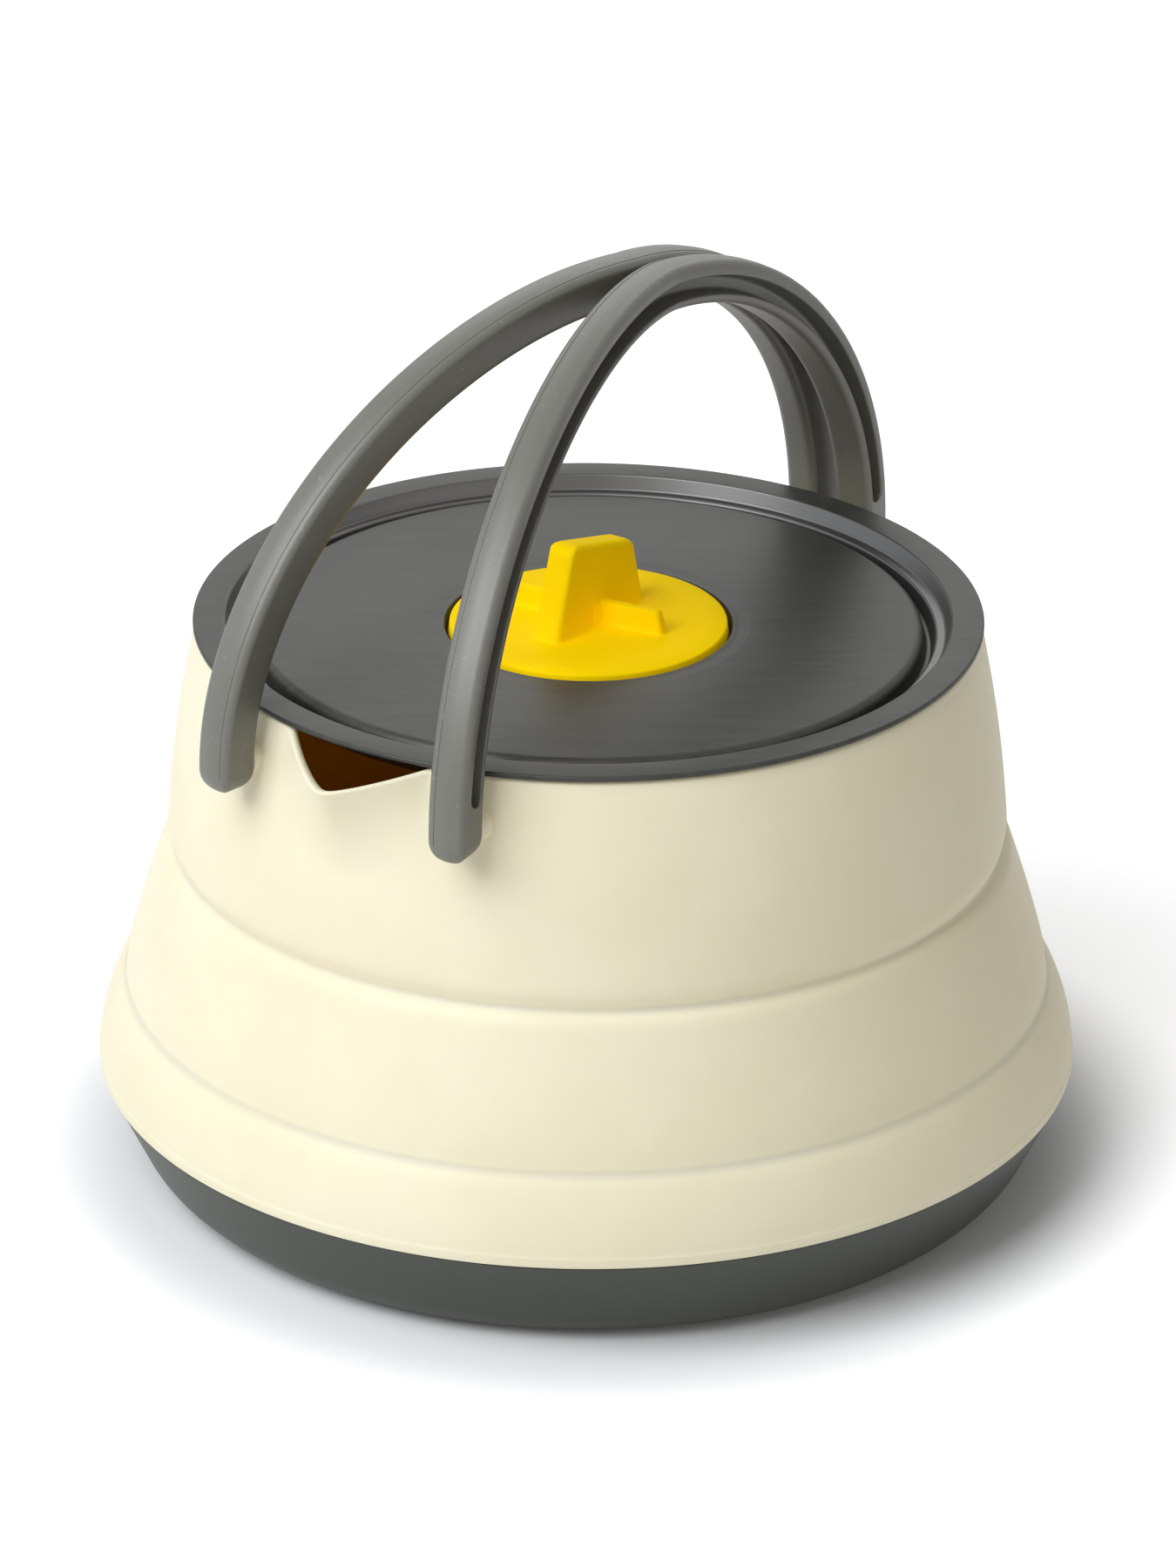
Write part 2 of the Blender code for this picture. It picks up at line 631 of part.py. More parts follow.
def fin_mesh():
    """Tapered fin along the spout's axis, taller at the front, with rounded top corners."""
    sink = KNOB_DISC_THICKNESS / 2
    base = [(-FIN_LENGTH / 2, -sink), (FIN_LENGTH / 2, -sink)]
    front = (-FIN_TOP_LENGTH / 2, FIN_FRONT_HEIGHT)
    rear = (FIN_TOP_LENGTH / 2, FIN_REAR_HEIGHT)
    slope = (FIN_REAR_HEIGHT - FIN_FRONT_HEIGHT) / FIN_TOP_LENGTH
    lean = (FIN_LENGTH - FIN_TOP_LENGTH) / 2 / FIN_FRONT_HEIGHT
    shape = [base[1],
             (rear[0] + lean * FIN_CORNER, rear[1] - FIN_CORNER),
             (rear[0] - FIN_CORNER * 0.2, rear[1] - FIN_CORNER * 0.3),
             (rear[0] - FIN_CORNER, rear[1] - slope * FIN_CORNER),
             (front[0] + FIN_CORNER, front[1] + slope * FIN_CORNER),
             (front[0] + FIN_CORNER * 0.2, front[1] - FIN_CORNER * 0.3),
             (front[0] - lean * FIN_CORNER, front[1] - FIN_CORNER),
             base[0]]
    bm = bmesh.new()
    sides = []
    for side in (-1, 1):
        points = []
        for y, height in shape:
            width = FIN_WIDTH + (FIN_TOP_WIDTH - FIN_WIDTH) * max(0.0, height) / FIN_FRONT_HEIGHT
            points.append(Vector((side * width / 2, y, KNOB_TOP_Z + height)))
        sides.append(points)
    bridge_sections(bm, sides, closed=False)
    return bm


def cross_wall_mesh():
    """Low wall across the fin, one piece from side to side, with leaning ends."""
    sink = KNOB_DISC_THICKNESS / 2
    top_reach = CROSS_WALL_REACH - CROSS_WALL_WIDTH / 4
    bm = bmesh.new()
    sides = []
    for side in (-1, 1):
        y = side * CROSS_WALL_WIDTH / 2
        sides.append([Vector((-CROSS_WALL_REACH, y, KNOB_TOP_Z - sink)),
                      Vector((CROSS_WALL_REACH, y, KNOB_TOP_Z - sink)),
                      Vector((top_reach, y, KNOB_TOP_Z + CROSS_WALL_HEIGHT)),
                      Vector((-top_reach, y, KNOB_TOP_Z + CROSS_WALL_HEIGHT))])
    bridge_sections(bm, sides, closed=False)
    return bm


def make_knob():
    boss_end = BACKING_TOP_Z + GAP
    outline = [(0, KNOB_TOP_Z), (KNOB_RADIUS - KNOB_EDGE, KNOB_TOP_Z),
               (KNOB_RADIUS, KNOB_TOP_Z - KNOB_EDGE), (KNOB_RADIUS, KNOB_UNDER_Z),
               (KNOB_BOSS_RADIUS, KNOB_UNDER_Z), (KNOB_BOSS_RADIUS, boss_end),
               (0, boss_end)]
    finish = finish_material("lid_knob", (0.98, 0.66, 0.0), 0.5)
    knob = add_part("lid_knob", turned_solid(outline, TURN_STEPS // 2), finish)
    cut(knob, add_guide("fin_guide", fin_mesh()), "UNION")
    cut(knob, add_guide("cross_wall_guide", cross_wall_mesh()), "UNION")
    mouth = Vector((0, 0, boss_end - CUT_OVERRUN / 2))
    bottom = Vector((0, 0, boss_end + SCREW_GRIP))
    cut(knob, add_guide("screw_bore_guide", rod(SCREW_RADIUS + GAP, mouth, bottom)))
    return knob


def make_knob_fixing():
    hole = SCREW_RADIUS + GAP
    low = BACKING_TOP_Z - BACKING_THICKNESS
    plate = [(BACKING_RADIUS, low), (BACKING_RADIUS, BACKING_TOP_Z),
             (hole, BACKING_TOP_Z), (hole, low)]
    backing = add_part("knob_backing", turned(plate, even_angles(2 * SMALL_STEPS)),
                       finish_material("knob_backing", (0.55, 0.55, 0.54), 0.35, 1.0))
    head_low = SCREW_SEAT_Z - SCREW_HEAD_THICKNESS
    tip = BACKING_TOP_Z + SCREW_GRIP
    chamfer = SCREW_RADIUS / 4
    screw_outline = [(0, tip), (SCREW_RADIUS - chamfer, tip), (SCREW_RADIUS, tip - chamfer),
                     (SCREW_RADIUS, SCREW_SEAT_Z), (SCREW_HEAD_RADIUS, SCREW_SEAT_Z),
                     (SCREW_HEAD_RADIUS, head_low + chamfer), (SCREW_HEAD_RADIUS - chamfer, head_low),
                     (SCREW_DRIVE_RADIUS, head_low),
                     (SCREW_DRIVE_RADIUS, head_low + SCREW_DRIVE_DEPTH),
                     (0, head_low + SCREW_DRIVE_DEPTH)]
    screw = add_part("knob_screw", turned_solid(screw_outline, SMALL_STEPS),
                     finish_material("knob_screw", (0.62, 0.62, 0.60), 0.3, 1.0))
    return backing, screw


# Assembly

def joint_marker(name, place):
    marker = bpy.data.objects.new(name, None)
    marker.location = place
    marker.empty_display_size = BAIL_DEPTH
    bpy.context.scene.collection.objects.link(marker)
    return marker


def hang_on(marker, parts):
    """Parent parts to a marker without moving them."""
    for part in parts:
        part.parent = marker
        part.location = part.location - marker.location


def build():
    clear_scene()
    make_pan()
    _, _, upper = make_walls()
    ring = make_ring()
    pins = make_pins()
    bails = [make_bail(-1, "handle_left"), make_bail(1, "handle_right")]
    lid_parts = [make_lid(), make_knob(), *make_knob_fixing()]
    rim = joint_marker("collapse_axis", (0, 0, FOLD_HIGH_Z))
    lid = joint_marker("lid_axis", (0, 0, LID_TOP_Z))
    hang_on(rim, [upper, ring, *pins, *bails])
    hang_on(lid, lid_parts)


build()
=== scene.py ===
"""Collapsible camping kettle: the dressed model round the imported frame.

Metres, +Z up, the spout towards -Y. Most sizes below are the CAD part's own. The lid's steps, the
knob, the bails' feet and the wall's creases were measured once more and are a little closer here.
"""
import math

import bmesh
import bpy
from mathutils import Matrix, Vector


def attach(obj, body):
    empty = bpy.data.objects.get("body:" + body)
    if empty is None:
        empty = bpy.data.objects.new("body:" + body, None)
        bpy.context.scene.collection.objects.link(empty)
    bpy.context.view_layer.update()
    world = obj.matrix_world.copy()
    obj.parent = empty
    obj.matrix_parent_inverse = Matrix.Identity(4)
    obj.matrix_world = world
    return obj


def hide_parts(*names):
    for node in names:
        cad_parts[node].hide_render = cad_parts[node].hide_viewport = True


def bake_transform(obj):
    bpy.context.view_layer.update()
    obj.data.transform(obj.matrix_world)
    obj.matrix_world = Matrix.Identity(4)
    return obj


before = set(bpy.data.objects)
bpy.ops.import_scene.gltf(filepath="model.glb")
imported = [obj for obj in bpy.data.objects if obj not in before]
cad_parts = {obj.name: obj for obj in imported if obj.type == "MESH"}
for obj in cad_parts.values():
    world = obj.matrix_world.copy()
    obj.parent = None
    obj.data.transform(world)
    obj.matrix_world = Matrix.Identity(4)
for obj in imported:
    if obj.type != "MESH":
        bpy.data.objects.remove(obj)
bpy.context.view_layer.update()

# Clearances
GAP = 0.0003
BOSS_FIT = 0.00003
HOLE_OVERRUN = 0.0020
BORE_OVERRUN = 0.0040
FOOT_STANDOFF = {"front": 0.0020, "rear": 0.0050}
PIVOT_SPOUT_CLEARANCE = 0.0051
RING_SPOUT_CLEARANCE = math.radians(3.0)
LID_STEP_CLEARANCE = 0.0016
LID_PLUG_CLEARANCE = 0.0033

WELD_DISTANCE = 0.0000001

# Rounds of edges and bends
CRISP_ROUND = 0.0002
FINE_ROUND = 0.0003
SMALL_ROUND = 0.0004
BEND_ROUND = 0.0005
SOFT_ROUND = 0.0006
BROAD_ROUND = 0.0010

# Heights of the stack, from the ground up
PAN_HEIGHT = 0.0175
LOWER_TIER_HEIGHT = 0.0141
FOLD_HEIGHT = 0.0247
UPPER_TIER_HEIGHT = 0.0369

# Pan
PAN_RADIUS = 0.0803
PAN_HEEL_RADIUS = 0.0100
PAN_FLARE = math.radians(25.0)
PAN_THICKNESS = 0.0012
PAN_NECK_HEIGHT = 0.0060
PAN_NECK_BEAD = 0.0006

# Silicone wall
LOWER_TIER_PROUD = 0.0002
LOWER_TIER_TAPER = 0.0038
LOWER_TIER_FULLNESS = 1.7
FOLD_TAPER = 0.0076
FOLD_BOW = 0.0003
UPPER_TIER_TAPER = 0.0053
UPPER_TIER_BOW = 0.14
WALL_THICKNESS = 0.0019
WALL_NECK_HEIGHT = 0.0063
RIM_THICKNESS = 0.0018
RIM_THINNING = 0.0050
FOOT_LIP_DEPTH = 0.00015
FOOT_LIP_HEIGHT = 0.0015
FOOT_LIP_FADE = 0.0003
CREASE_DROP = 0.0004
CREASE_DEPTH = 0.0012
CREASE_ABOVE = 0.0021
CREASE_BELOW = 0.0009
SOFT_CREASE_DEPTH = 0.0005
SOFT_CREASE_ABOVE = 0.0027
SOFT_CREASE_BELOW = 0.0012

# Pouring lip
SPOUT_HALF_WIDTH = 0.0138
SPOUT_REACH = 0.0092
SPOUT_DIP = 0.0037
SPOUT_LENGTH = 0.0200
SPOUT_FLARE = 1.5
SPOUT_SOFTNESS = math.radians(1.4)

# Stiffening ring, its bosses and the sleeves over them
RING_THICKNESS = 0.0013
RING_HEIGHT = 0.0126
RING_DROP = 0.0014
BOSS_RADIUS = 0.0020
BOSS_BORE_RADIUS = 0.0016
BOSS_INSET = 0.0012
SLEEVE_RADIUS = 0.0024
SLEEVE_FOOT_RADIUS = 0.0032
SLEEVE_FLARE = 2.6
SLEEVE_BEDDING = 0.0006

# Bails
PIVOT_DROP = 0.0074
PIVOT_REAR_SPLAY = 0.0012
BAIL_WIDTH = 0.0066
BAIL_DEPTH = 0.0072
BAIL_RISE = 0.0615
BAIL_CROWN_Y = 0.0064
BAIL_FOOT_LENGTH = 0.0038
BAIL_FRONT_FULLNESS = 1.916
BAIL_REAR_FULLNESS = 2.038
BAIL_MEET_FRONT_Y = 0.0152
BAIL_MEET_REAR_Y = 0.0446
BAIL_SPLAY_POWER = 1.16
BAIL_CORNER = 0.0014
BAIL_CROWNING = 0.00025
GROOVE_WIDTH = 0.0031
GROOVE_DEPTH = 0.0032
GROOVE_OFFSET = 0.0005
GROOVE_START = 0.0053
GROOVE_LIP = 0.00035
GROOVE_BED = 0.0007
GROOVE_DRAFT = 0.00002
PARTING_LINE_RADIUS = 0.00009
PARTING_LINE_LIFT = 0.00001
PIN_BORE_RADIUS = 0.0018
PIN_ENGAGEMENT = 0.0042

# Lid
LID_THICKNESS = 0.0009
LID_SLOPE_THICKNESS = LID_THICKNESS * 0.7
LID_OVERHANG = 0.0004
LID_EDGE_ROUND = 0.00035
LID_SLOPE_RUN = 0.0010
LID_LEDGE_WIDTH = 0.0016
LID_LEDGE_DROP = 0.0025
LID_WALL_RUN = 0.0006
LID_CHANNEL_WIDTH = 0.0023
LID_CHANNEL_DROP = 0.0050
LID_CENTRE_LEAN = 0.0004
LID_CENTRE_DROP = 0.0017
LID_SHOULDER = 0.0016
LID_DISH_REACH = 0.0034
LID_DISH_WIDTH = 0.0020
LID_DISH_DEPTH = 0.0001
LID_DISH_ROUND = 0.0030
LID_RECESS_LEAN = 0.0004
LID_SEAT_DROP = 0.0036

# Knob
KNOB_RADIUS = 0.0227
KNOB_DISC_THICKNESS = 0.0024
KNOB_DOMING = 0.0004
KNOB_DOME_WIDTH = 0.0026
KNOB_DOME_ROUND = 0.0080
KNOB_DRAFT = 0.0002
KNOB_BOSS_RADIUS = 0.0040
KNOB_FILLET = 0.0007
KNOB_SINK = 0.00004
FIN_LENGTH = 0.0241
FIN_TOP_LENGTH = 0.0182
FIN_SHIFT = -0.0001
FIN_TOP_SHIFT = 0.0007
FIN_WIDENING = 0.05
FIN_WIDTH = 0.0052
FIN_TOP_WIDTH = 0.0049
FIN_FRONT_HEIGHT = 0.0157
FIN_REAR_HEIGHT = 0.0110
FIN_FRONT_CORNER = 0.0030
FIN_REAR_CORNER = 0.0017
FIN_SIDE_ROUND = 0.0011
FIN_PLAN_CORNER = 0.0012
END_ROUND_REACH = 0.0016
CROSS_WALL_REACH = 0.0138
CROSS_WALL_HEIGHT = 0.0038
CROSS_WALL_WIDTH = 0.0024
CROSS_WALL_END_ROUND = 0.0008
CROSS_WALL_PLAN_CORNER = 0.0007
CROSS_WALL_TURN = math.radians(7.4)
WEB_RADIUS = 0.0012
WEB_SINK = 0.0001
WEB_ROOT_IN_FIN = 0.0008
WEB_ROOT_IN_WALL = 0.0005
WEB_TOP_DROP = 0.0003

# Painted shade, wear and tool marks
PAINTED_SHADE_START = 0.0001
CREASE_PAINTED_SHADE_RISE = 0.0002
CREASE_PAINTED_SHADE_REACH = 0.0010
SOFT_CREASE_PAINTED_SHADE_REACH = 0.0011
FOOT_PAINTED_SHADE_REACH = 0.0012
HEEL_WEAR_START = 0.0001
HEEL_WEAR_HEIGHT = 0.0016
DEEP_SHADE_Z = 0.0200
DEEP_SHADE_END_Z = 0.0700
SPUN_BAND_INSET = 0.0006
SPUN_BAND_OUTSET = 0.0002
SPUN_BAND_FADE_IN = 0.0008
SPUN_BAND_FADE_OUT = 0.0006
LID_GRAIN_TURN = math.radians(35.0)

# Levels and radii that follow from the sizes above
FOLD_LOW_Z = PAN_HEIGHT + LOWER_TIER_HEIGHT
FOLD_HIGH_Z = FOLD_LOW_Z + FOLD_HEIGHT
RIM_Z = FOLD_HIGH_Z + UPPER_TIER_HEIGHT
FOOT_LIP_TOP_Z = PAN_HEIGHT + FOOT_LIP_HEIGHT
BELLY_Z = FOOT_LIP_TOP_Z + FOOT_LIP_FADE
CREASE_Z = FOLD_HIGH_Z - CREASE_DROP
LOWER_TIER_RADIUS = PAN_RADIUS + LOWER_TIER_PROUD
LOWER_TIER_TOP_RADIUS = PAN_RADIUS - LOWER_TIER_TAPER
UPPER_TIER_RADIUS = LOWER_TIER_TOP_RADIUS - FOLD_TAPER
RIM_RADIUS = UPPER_TIER_RADIUS - UPPER_TIER_TAPER
FOOT_LIP_RADIUS = LOWER_TIER_RADIUS + FOOT_LIP_DEPTH
SPOUT_HALF_ANGLE = math.asin(SPOUT_HALF_WIDTH / RIM_RADIUS)
LID_TOP_Z = RIM_Z + GAP + LID_THICKNESS
LID_CENTRE_Z = LID_TOP_Z - LID_CENTRE_DROP
LID_SEAT_Z = LID_TOP_Z - LID_SEAT_DROP
KNOB_UNDER_Z = LID_SEAT_Z + GAP
KNOB_TOP_Z = KNOB_UNDER_Z + KNOB_DISC_THICKNESS
CORNERS = [(side, end) for side in (-1, 1) for end in ("front", "rear")]


def upper_tier_radius(z):
    """Outer radius of the top tier, a gentle flare from the rim down to the first crease."""
    share = (RIM_Z - z) / UPPER_TIER_HEIGHT
    bow = UPPER_TIER_BOW * math.sin(math.pi * share)
    return RIM_RADIUS + UPPER_TIER_TAPER * (share + bow)


def ring_outer_radius(z):
    """The stiffening ring follows the inside of the top tier."""
    return upper_tier_radius(z) - WALL_THICKNESS - GAP


PIVOT_Z = RIM_Z - PIVOT_DROP
WALL_AT_PIVOT = upper_tier_radius(PIVOT_Z)
BAIL_MEET_X = BAIL_WIDTH / 2 + GAP
PIVOT_FRONT_X = SPOUT_HALF_WIDTH + PIVOT_SPOUT_CLEARANCE + BAIL_WIDTH / 2
PIVOT_REAR_X = BAIL_MEET_X + PIVOT_REAR_SPLAY
FRONT_LEG_RADIUS = WALL_AT_PIVOT + FOOT_STANDOFF["front"] + BAIL_DEPTH / 2
REAR_LEG_RADIUS = WALL_AT_PIVOT + FOOT_STANDOFF["rear"] + BAIL_DEPTH / 2
PIVOT_FRONT_Y = -math.sqrt(FRONT_LEG_RADIUS ** 2 - PIVOT_FRONT_X ** 2)
PIVOT_REAR_Y = math.sqrt(REAR_LEG_RADIUS ** 2 - PIVOT_REAR_X ** 2)
RING_TOP_Z = RIM_Z - RING_DROP
RING_LOW_Z = RING_TOP_Z - RING_HEIGHT
RING_MOUTH_RADIUS = ring_outer_radius(RING_TOP_Z) - RING_THICKNESS
RING_AT_PIVOT = ring_outer_radius(PIVOT_Z) - RING_THICKNESS
LID_RADIUS = RIM_RADIUS + LID_OVERHANG
LID_STEP_RADIUS = RING_MOUTH_RADIUS - LID_STEP_CLEARANCE
LID_CHANNEL_RADIUS = RING_MOUTH_RADIUS - LID_PLUG_CLEARANCE - LID_SLOPE_THICKNESS
LID_CENTRE_RADIUS = LID_CHANNEL_RADIUS - LID_CHANNEL_WIDTH


# Node trees

class Value:
    """A number in a node tree. Arithmetic on it adds Math nodes."""

    def __init__(self, tree, socket):
        self.tree, self.socket = tree, socket

    def math(self, operation, *others):
        return self.tree.number(operation, self, *others)

    def __add__(self, other):
        return self.math("ADD", other)

    __radd__ = __add__

    def __mul__(self, other):
        return self.math("MULTIPLY", other)

    __rmul__ = __mul__

    def __sub__(self, other):
        return self.math("SUBTRACT", other)

    def __rsub__(self, other):
        return self.tree.number("SUBTRACT", other, self)

    def __truediv__(self, other):
        return self.math("DIVIDE", other)

    def __rtruediv__(self, other):
        return self.tree.number("DIVIDE", other, self)

    def __pow__(self, other):
        return self.math("POWER", other)

    def __neg__(self):
        return 0 - self

    def between(self, low, high):
        """0 below the low value, 1 above the high one, and a smooth step from one to the other."""
        return self.tree.node("ShaderNodeMapRange", {"interpolation_type": "SMOOTHSTEP"},
                              {0: self, 1: low, 2: high})


class Tree:
    """Adds nodes to a tree, each with its settings first and then its sockets."""

    def node(self, kind, settings=None, sockets=None, out=0):
        made = self.nodes.nodes.new(kind)
        for name, value in (settings or {}).items():
            setattr(made, name, value)
        for key, value in (sockets or {}).items():
            self.feed(made.inputs[key], value)
        return Value(self, made.outputs[out])

    def feed(self, socket, value):
        if isinstance(value, Value):
            self.nodes.links.new(value.socket, socket)
        else:
            socket.default_value = value

    def number(self, operation, *values):
        return self.node("ShaderNodeMath", {"operation": operation}, dict(enumerate(values)))

    def split(self, vector):
        made = self.nodes.nodes.new("ShaderNodeSeparateXYZ")
        self.feed(made.inputs[0], vector)
        return [Value(self, made.outputs[i]) for i in range(3)]

    def join(self, x, y, z):
        return self.node("ShaderNodeCombineXYZ", None, {0: x, 1: y, 2: z})

    def seen(self):
        """1 for the rays that show a background: from the camera, off gloss or through glass."""
        rays = self.nodes.nodes.new("ShaderNodeLightPath")
        camera, glossy, through = (Value(self, rays.outputs["Is " + kind + " Ray"])
                                   for kind in ("Camera", "Glossy", "Transmission"))
        return camera.math("MAXIMUM", glossy).math("MAXIMUM", through)


class Finish(Tree):
    """The finish of one kind of surface: a Principled shader and what varies over it."""

    def __init__(self, name, colour, roughness, metallic=0.0):
        self.material = bpy.data.materials.new(name)
        self.material.use_nodes = True
        self.material.diffuse_color = (*colour, 1.0)
        self.nodes = self.material.node_tree
        self.shader = self.nodes.nodes["Principled BSDF"]
        self.set(Roughness=roughness, Metallic=metallic, Base_Color=(*colour, 1.0))

    def set(self, **sockets):
        for name, value in sockets.items():
            self.feed(self.shader.inputs[name.replace("_", " ")], value)

    def place(self):
        return self.node("ShaderNodeTexCoord", out=3)

    def as_moulded(self):
        """Where a point was when the piece was moulded, for a wall that folds."""
        return self.node("ShaderNodeAttribute", {"attribute_name": "moulded"}, None, out=1)

    def noise(self, vector, scale=1.0, detail=2.0, roughness=0.5, stretch=None, turn=0.0):
        if stretch or turn:
            vector = self.node("ShaderNodeMapping", None,
                               {"Vector": vector, "Rotation": (0.0, 0.0, turn)})
            vector = self.node("ShaderNodeVectorMath", {"operation": "MULTIPLY"},
                               {0: vector, 1: stretch or (1.0, 1.0, 1.0)})
        return self.node("ShaderNodeTexNoise", None,
                         {"Vector": vector, "Scale": scale, "Detail": detail,
                          "Roughness": roughness})

    def mixed(self, share, first, second):
        """A colour on the way from the first to the second."""
        first = first if isinstance(first, Value) else (*first, 1.0)
        second = second if isinstance(second, Value) else (*second, 1.0)
        return self.node("ShaderNodeMix", {"data_type": "RGBA"}, {0: share, 6: first, 7: second},
                         out=2)

    def relief(self, height, depth, strength=1.0):
        self.set(Normal=self.node("ShaderNodeBump", None,
                                  {"Height": height, "Distance": depth, "Strength": strength}))

    def axis_readings(self):
        """Radius from the axis, angle round it and height."""
        x, y, z = self.split(self.place())
        return (x * x + y * y) ** 0.5, x.math("ARCTAN2", y), z


class Rule(Tree):
    """A Geometry Nodes tree with named sizes, turned into a plain mesh once it has run."""

    def __init__(self, name, **sizes):
        self.nodes = bpy.data.node_groups.new(name, "GeometryNodeTree")
        self.sizes = sizes
        face = self.nodes.interface
        face.new_socket("Geometry", in_out="OUTPUT", socket_type="NodeSocketGeometry")
        face.new_socket("Geometry", in_out="INPUT", socket_type="NodeSocketGeometry")
        self.keys = {}
        for label, value in sizes.items():
            kind = "Int" if isinstance(value, int) else "Float"
            if isinstance(value, bpy.types.Material):
                kind = "Material"
            socket = face.new_socket(label, in_out="INPUT", socket_type="NodeSocket" + kind)
            self.keys[label] = socket.identifier
        self.entry = self.nodes.nodes.new("NodeGroupInput")
        self.exit = self.nodes.nodes.new("NodeGroupOutput")

    def size(self, label):
        return Value(self, self.entry.outputs[label])

    def finish(self, geometry, *coats):
        """Realize what was made and give it its finish, each coat a material and where it goes."""
        made = self.node("GeometryNodeRealizeInstances", None, {0: geometry})
        for material, where in coats:
            sockets = {"Geometry": made, "Material": material}
            if where is not None:
                sockets["Selection"] = where
            made = self.node("GeometryNodeSetMaterial", None, sockets)
        self.feed(self.exit.inputs[0], made)

    def run(self, piece):
        modifier = piece.modifiers.new(self.nodes.name, "NODES")
        modifier.node_group = self.nodes
        for label, value in self.sizes.items():
            modifier[self.keys[label]] = value
        apply_modifiers(piece)
        return piece


# Making pieces

def apply_modifiers(piece):
    """Turn what the modifiers make of a piece into its plain mesh."""
    bpy.context.view_layer.update()
    graph = bpy.context.evaluated_depsgraph_get()
    mesh = bpy.data.meshes.new_from_object(piece.evaluated_get(graph))
    piece.modifiers.clear()
    old, piece.data = piece.data, mesh
    bpy.data.meshes.remove(old)
    return piece


def add_piece(name, verts, faces, finishes, crease_angle=38.0, recalculate=True, edges=()):
    """Make a piece from its points and faces, shaded smooth up to the crease angle in degrees."""
    mesh = bpy.data.meshes.new(name)
    mesh.from_pydata([tuple(v) for v in verts], list(edges), faces)
    if recalculate:
        bm = bmesh.new()
        bm.from_mesh(mesh)
        bmesh.ops.remove_doubles(bm, verts=bm.verts, dist=WELD_DISTANCE)
        bmesh.ops.recalc_face_normals(bm, faces=bm.faces)
        bm.to_mesh(mesh)
        bm.free()
        mesh.shade_smooth()
        mesh.set_sharp_from_angle(angle=math.radians(crease_angle))
    for finish in finishes:
        mesh.materials.append(finish.material)
    piece = bpy.data.objects.new(name, mesh)
    bpy.context.scene.collection.objects.link(piece)
    return piece


def joined(name, pieces):
    """Put the meshes of several pieces into one piece."""
    whole = bmesh.new()
    for piece in pieces:
        whole.from_mesh(piece.data)
    mesh = bpy.data.meshes.new(name)
    whole.to_mesh(mesh)
    whole.free()
    for material in pieces[0].data.materials:
        mesh.materials.append(material)
    one = bpy.data.objects.new(name, mesh)
    bpy.context.scene.collection.objects.link(one)
    for piece in pieces:
        bpy.data.objects.remove(piece, do_unlink=True)
    return one


def skin(rings, round_trip, capped=False):
    """Vertices and faces over rings of points; each ring closes on itself."""
    count = len(rings[0])
    verts = [point for ring in rings for point in ring]
    faces = []
    pairs = [(i, i + 1) for i in range(len(rings) - 1)]
    if round_trip:
        pairs.append((len(rings) - 1, 0))
    for a, b in pairs:
        for i in range(count):
            j = (i + 1) % count
            faces.append((a * count + i, a * count + j, b * count + j, b * count + i))
    if capped:
        last = (len(rings) - 1) * count
        faces.append(tuple(range(count))[::-1])
        faces.append(tuple(last + i for i in range(count)))
    return verts, faces


def from_spout(angle, radius, z):
    """A point at an angle from the spout's direction, positive towards +X."""
    return Vector((radius * math.sin(angle), -radius * math.cos(angle), z))


def even_angles(steps):
    """Angles of a full turn in equal steps."""
    return [2 * math.pi * i / steps for i in range(steps)]


def turned(name, outline, finishes, steps=192, angles=None, closed=True):
    """Carry a closed outline of (radius, height) points round the axis."""
    rings = [[from_spout(angle, r, z) for r, z in outline]
             for angle in angles or even_angles(steps)]
    return add_piece(name, *skin(rings, closed, capped=not closed), finishes)


def arc(centre, radius, start, end, steps):
    """Points on an arc, with the angles counted from the first axis towards the second."""
    turns = [start + (end - start) * i / steps for i in range(steps + 1)]
    return [(centre[0] + radius * math.cos(t), centre[1] + radius * math.sin(t)) for t in turns]


def rounded(corners, closed=True, steps=6):
    """Turn corners (x, y, fillet radius) into a line with each corner rounded."""
    line, count, nearly_straight = [], len(corners), math.radians(89.5)
    for i, (x, y, radius) in enumerate(corners):
        here = Vector((x, y))
        if radius <= 0 or (not closed and i in (0, count - 1)):
            line.append((x, y))
            continue
        before = Vector(corners[i - 1][:2]) - here
        after = Vector(corners[(i + 1) % count][:2]) - here
        a, b = before.normalized(), after.normalized()
        half = a.angle(b) / 2
        if half > nearly_straight:
            line.append((x, y))
            continue
        reach = min(radius / math.tan(half), before.length * 0.48, after.length * 0.48)
        fillet = reach * math.tan(half)
        centre = here + (a + b).normalized() * (fillet / math.sin(half))
        start, end = here + a * reach - centre, here + b * reach - centre
        turn = start.angle_signed(end)
        for k in range(steps + 1):
            angle = math.atan2(start.y, start.x) - turn * k / steps
            line.append((centre.x + fillet * math.cos(angle), centre.y + fillet * math.sin(angle)))
    return line


def turned_about(name, outline, start, end, finishes=(), steps=48):
    """Carry an outline of (radius, distance from the start) round the line between two points."""
    turn = Vector((0, 0, 1)).rotation_difference(end - start).to_matrix().to_4x4()
    place = Matrix.Translation(start) @ turn
    rings = [[place @ from_spout(angle, r, z) for r, z in outline] for angle in even_angles(steps)]
    return add_piece(name, *skin(rings, True), finishes)


def rod(name, radius, start, end, finishes=(), edge=0.0, steps=48):
    """A round rod between two points, with rounded rims."""
    length = (end - start).length
    outline = rounded([(0, 0, 0), (radius, 0, edge), (radius, length, edge), (0, length, 0)],
                      closed=False, steps=4)
    return turned_about(name, outline, start, end, finishes, steps)


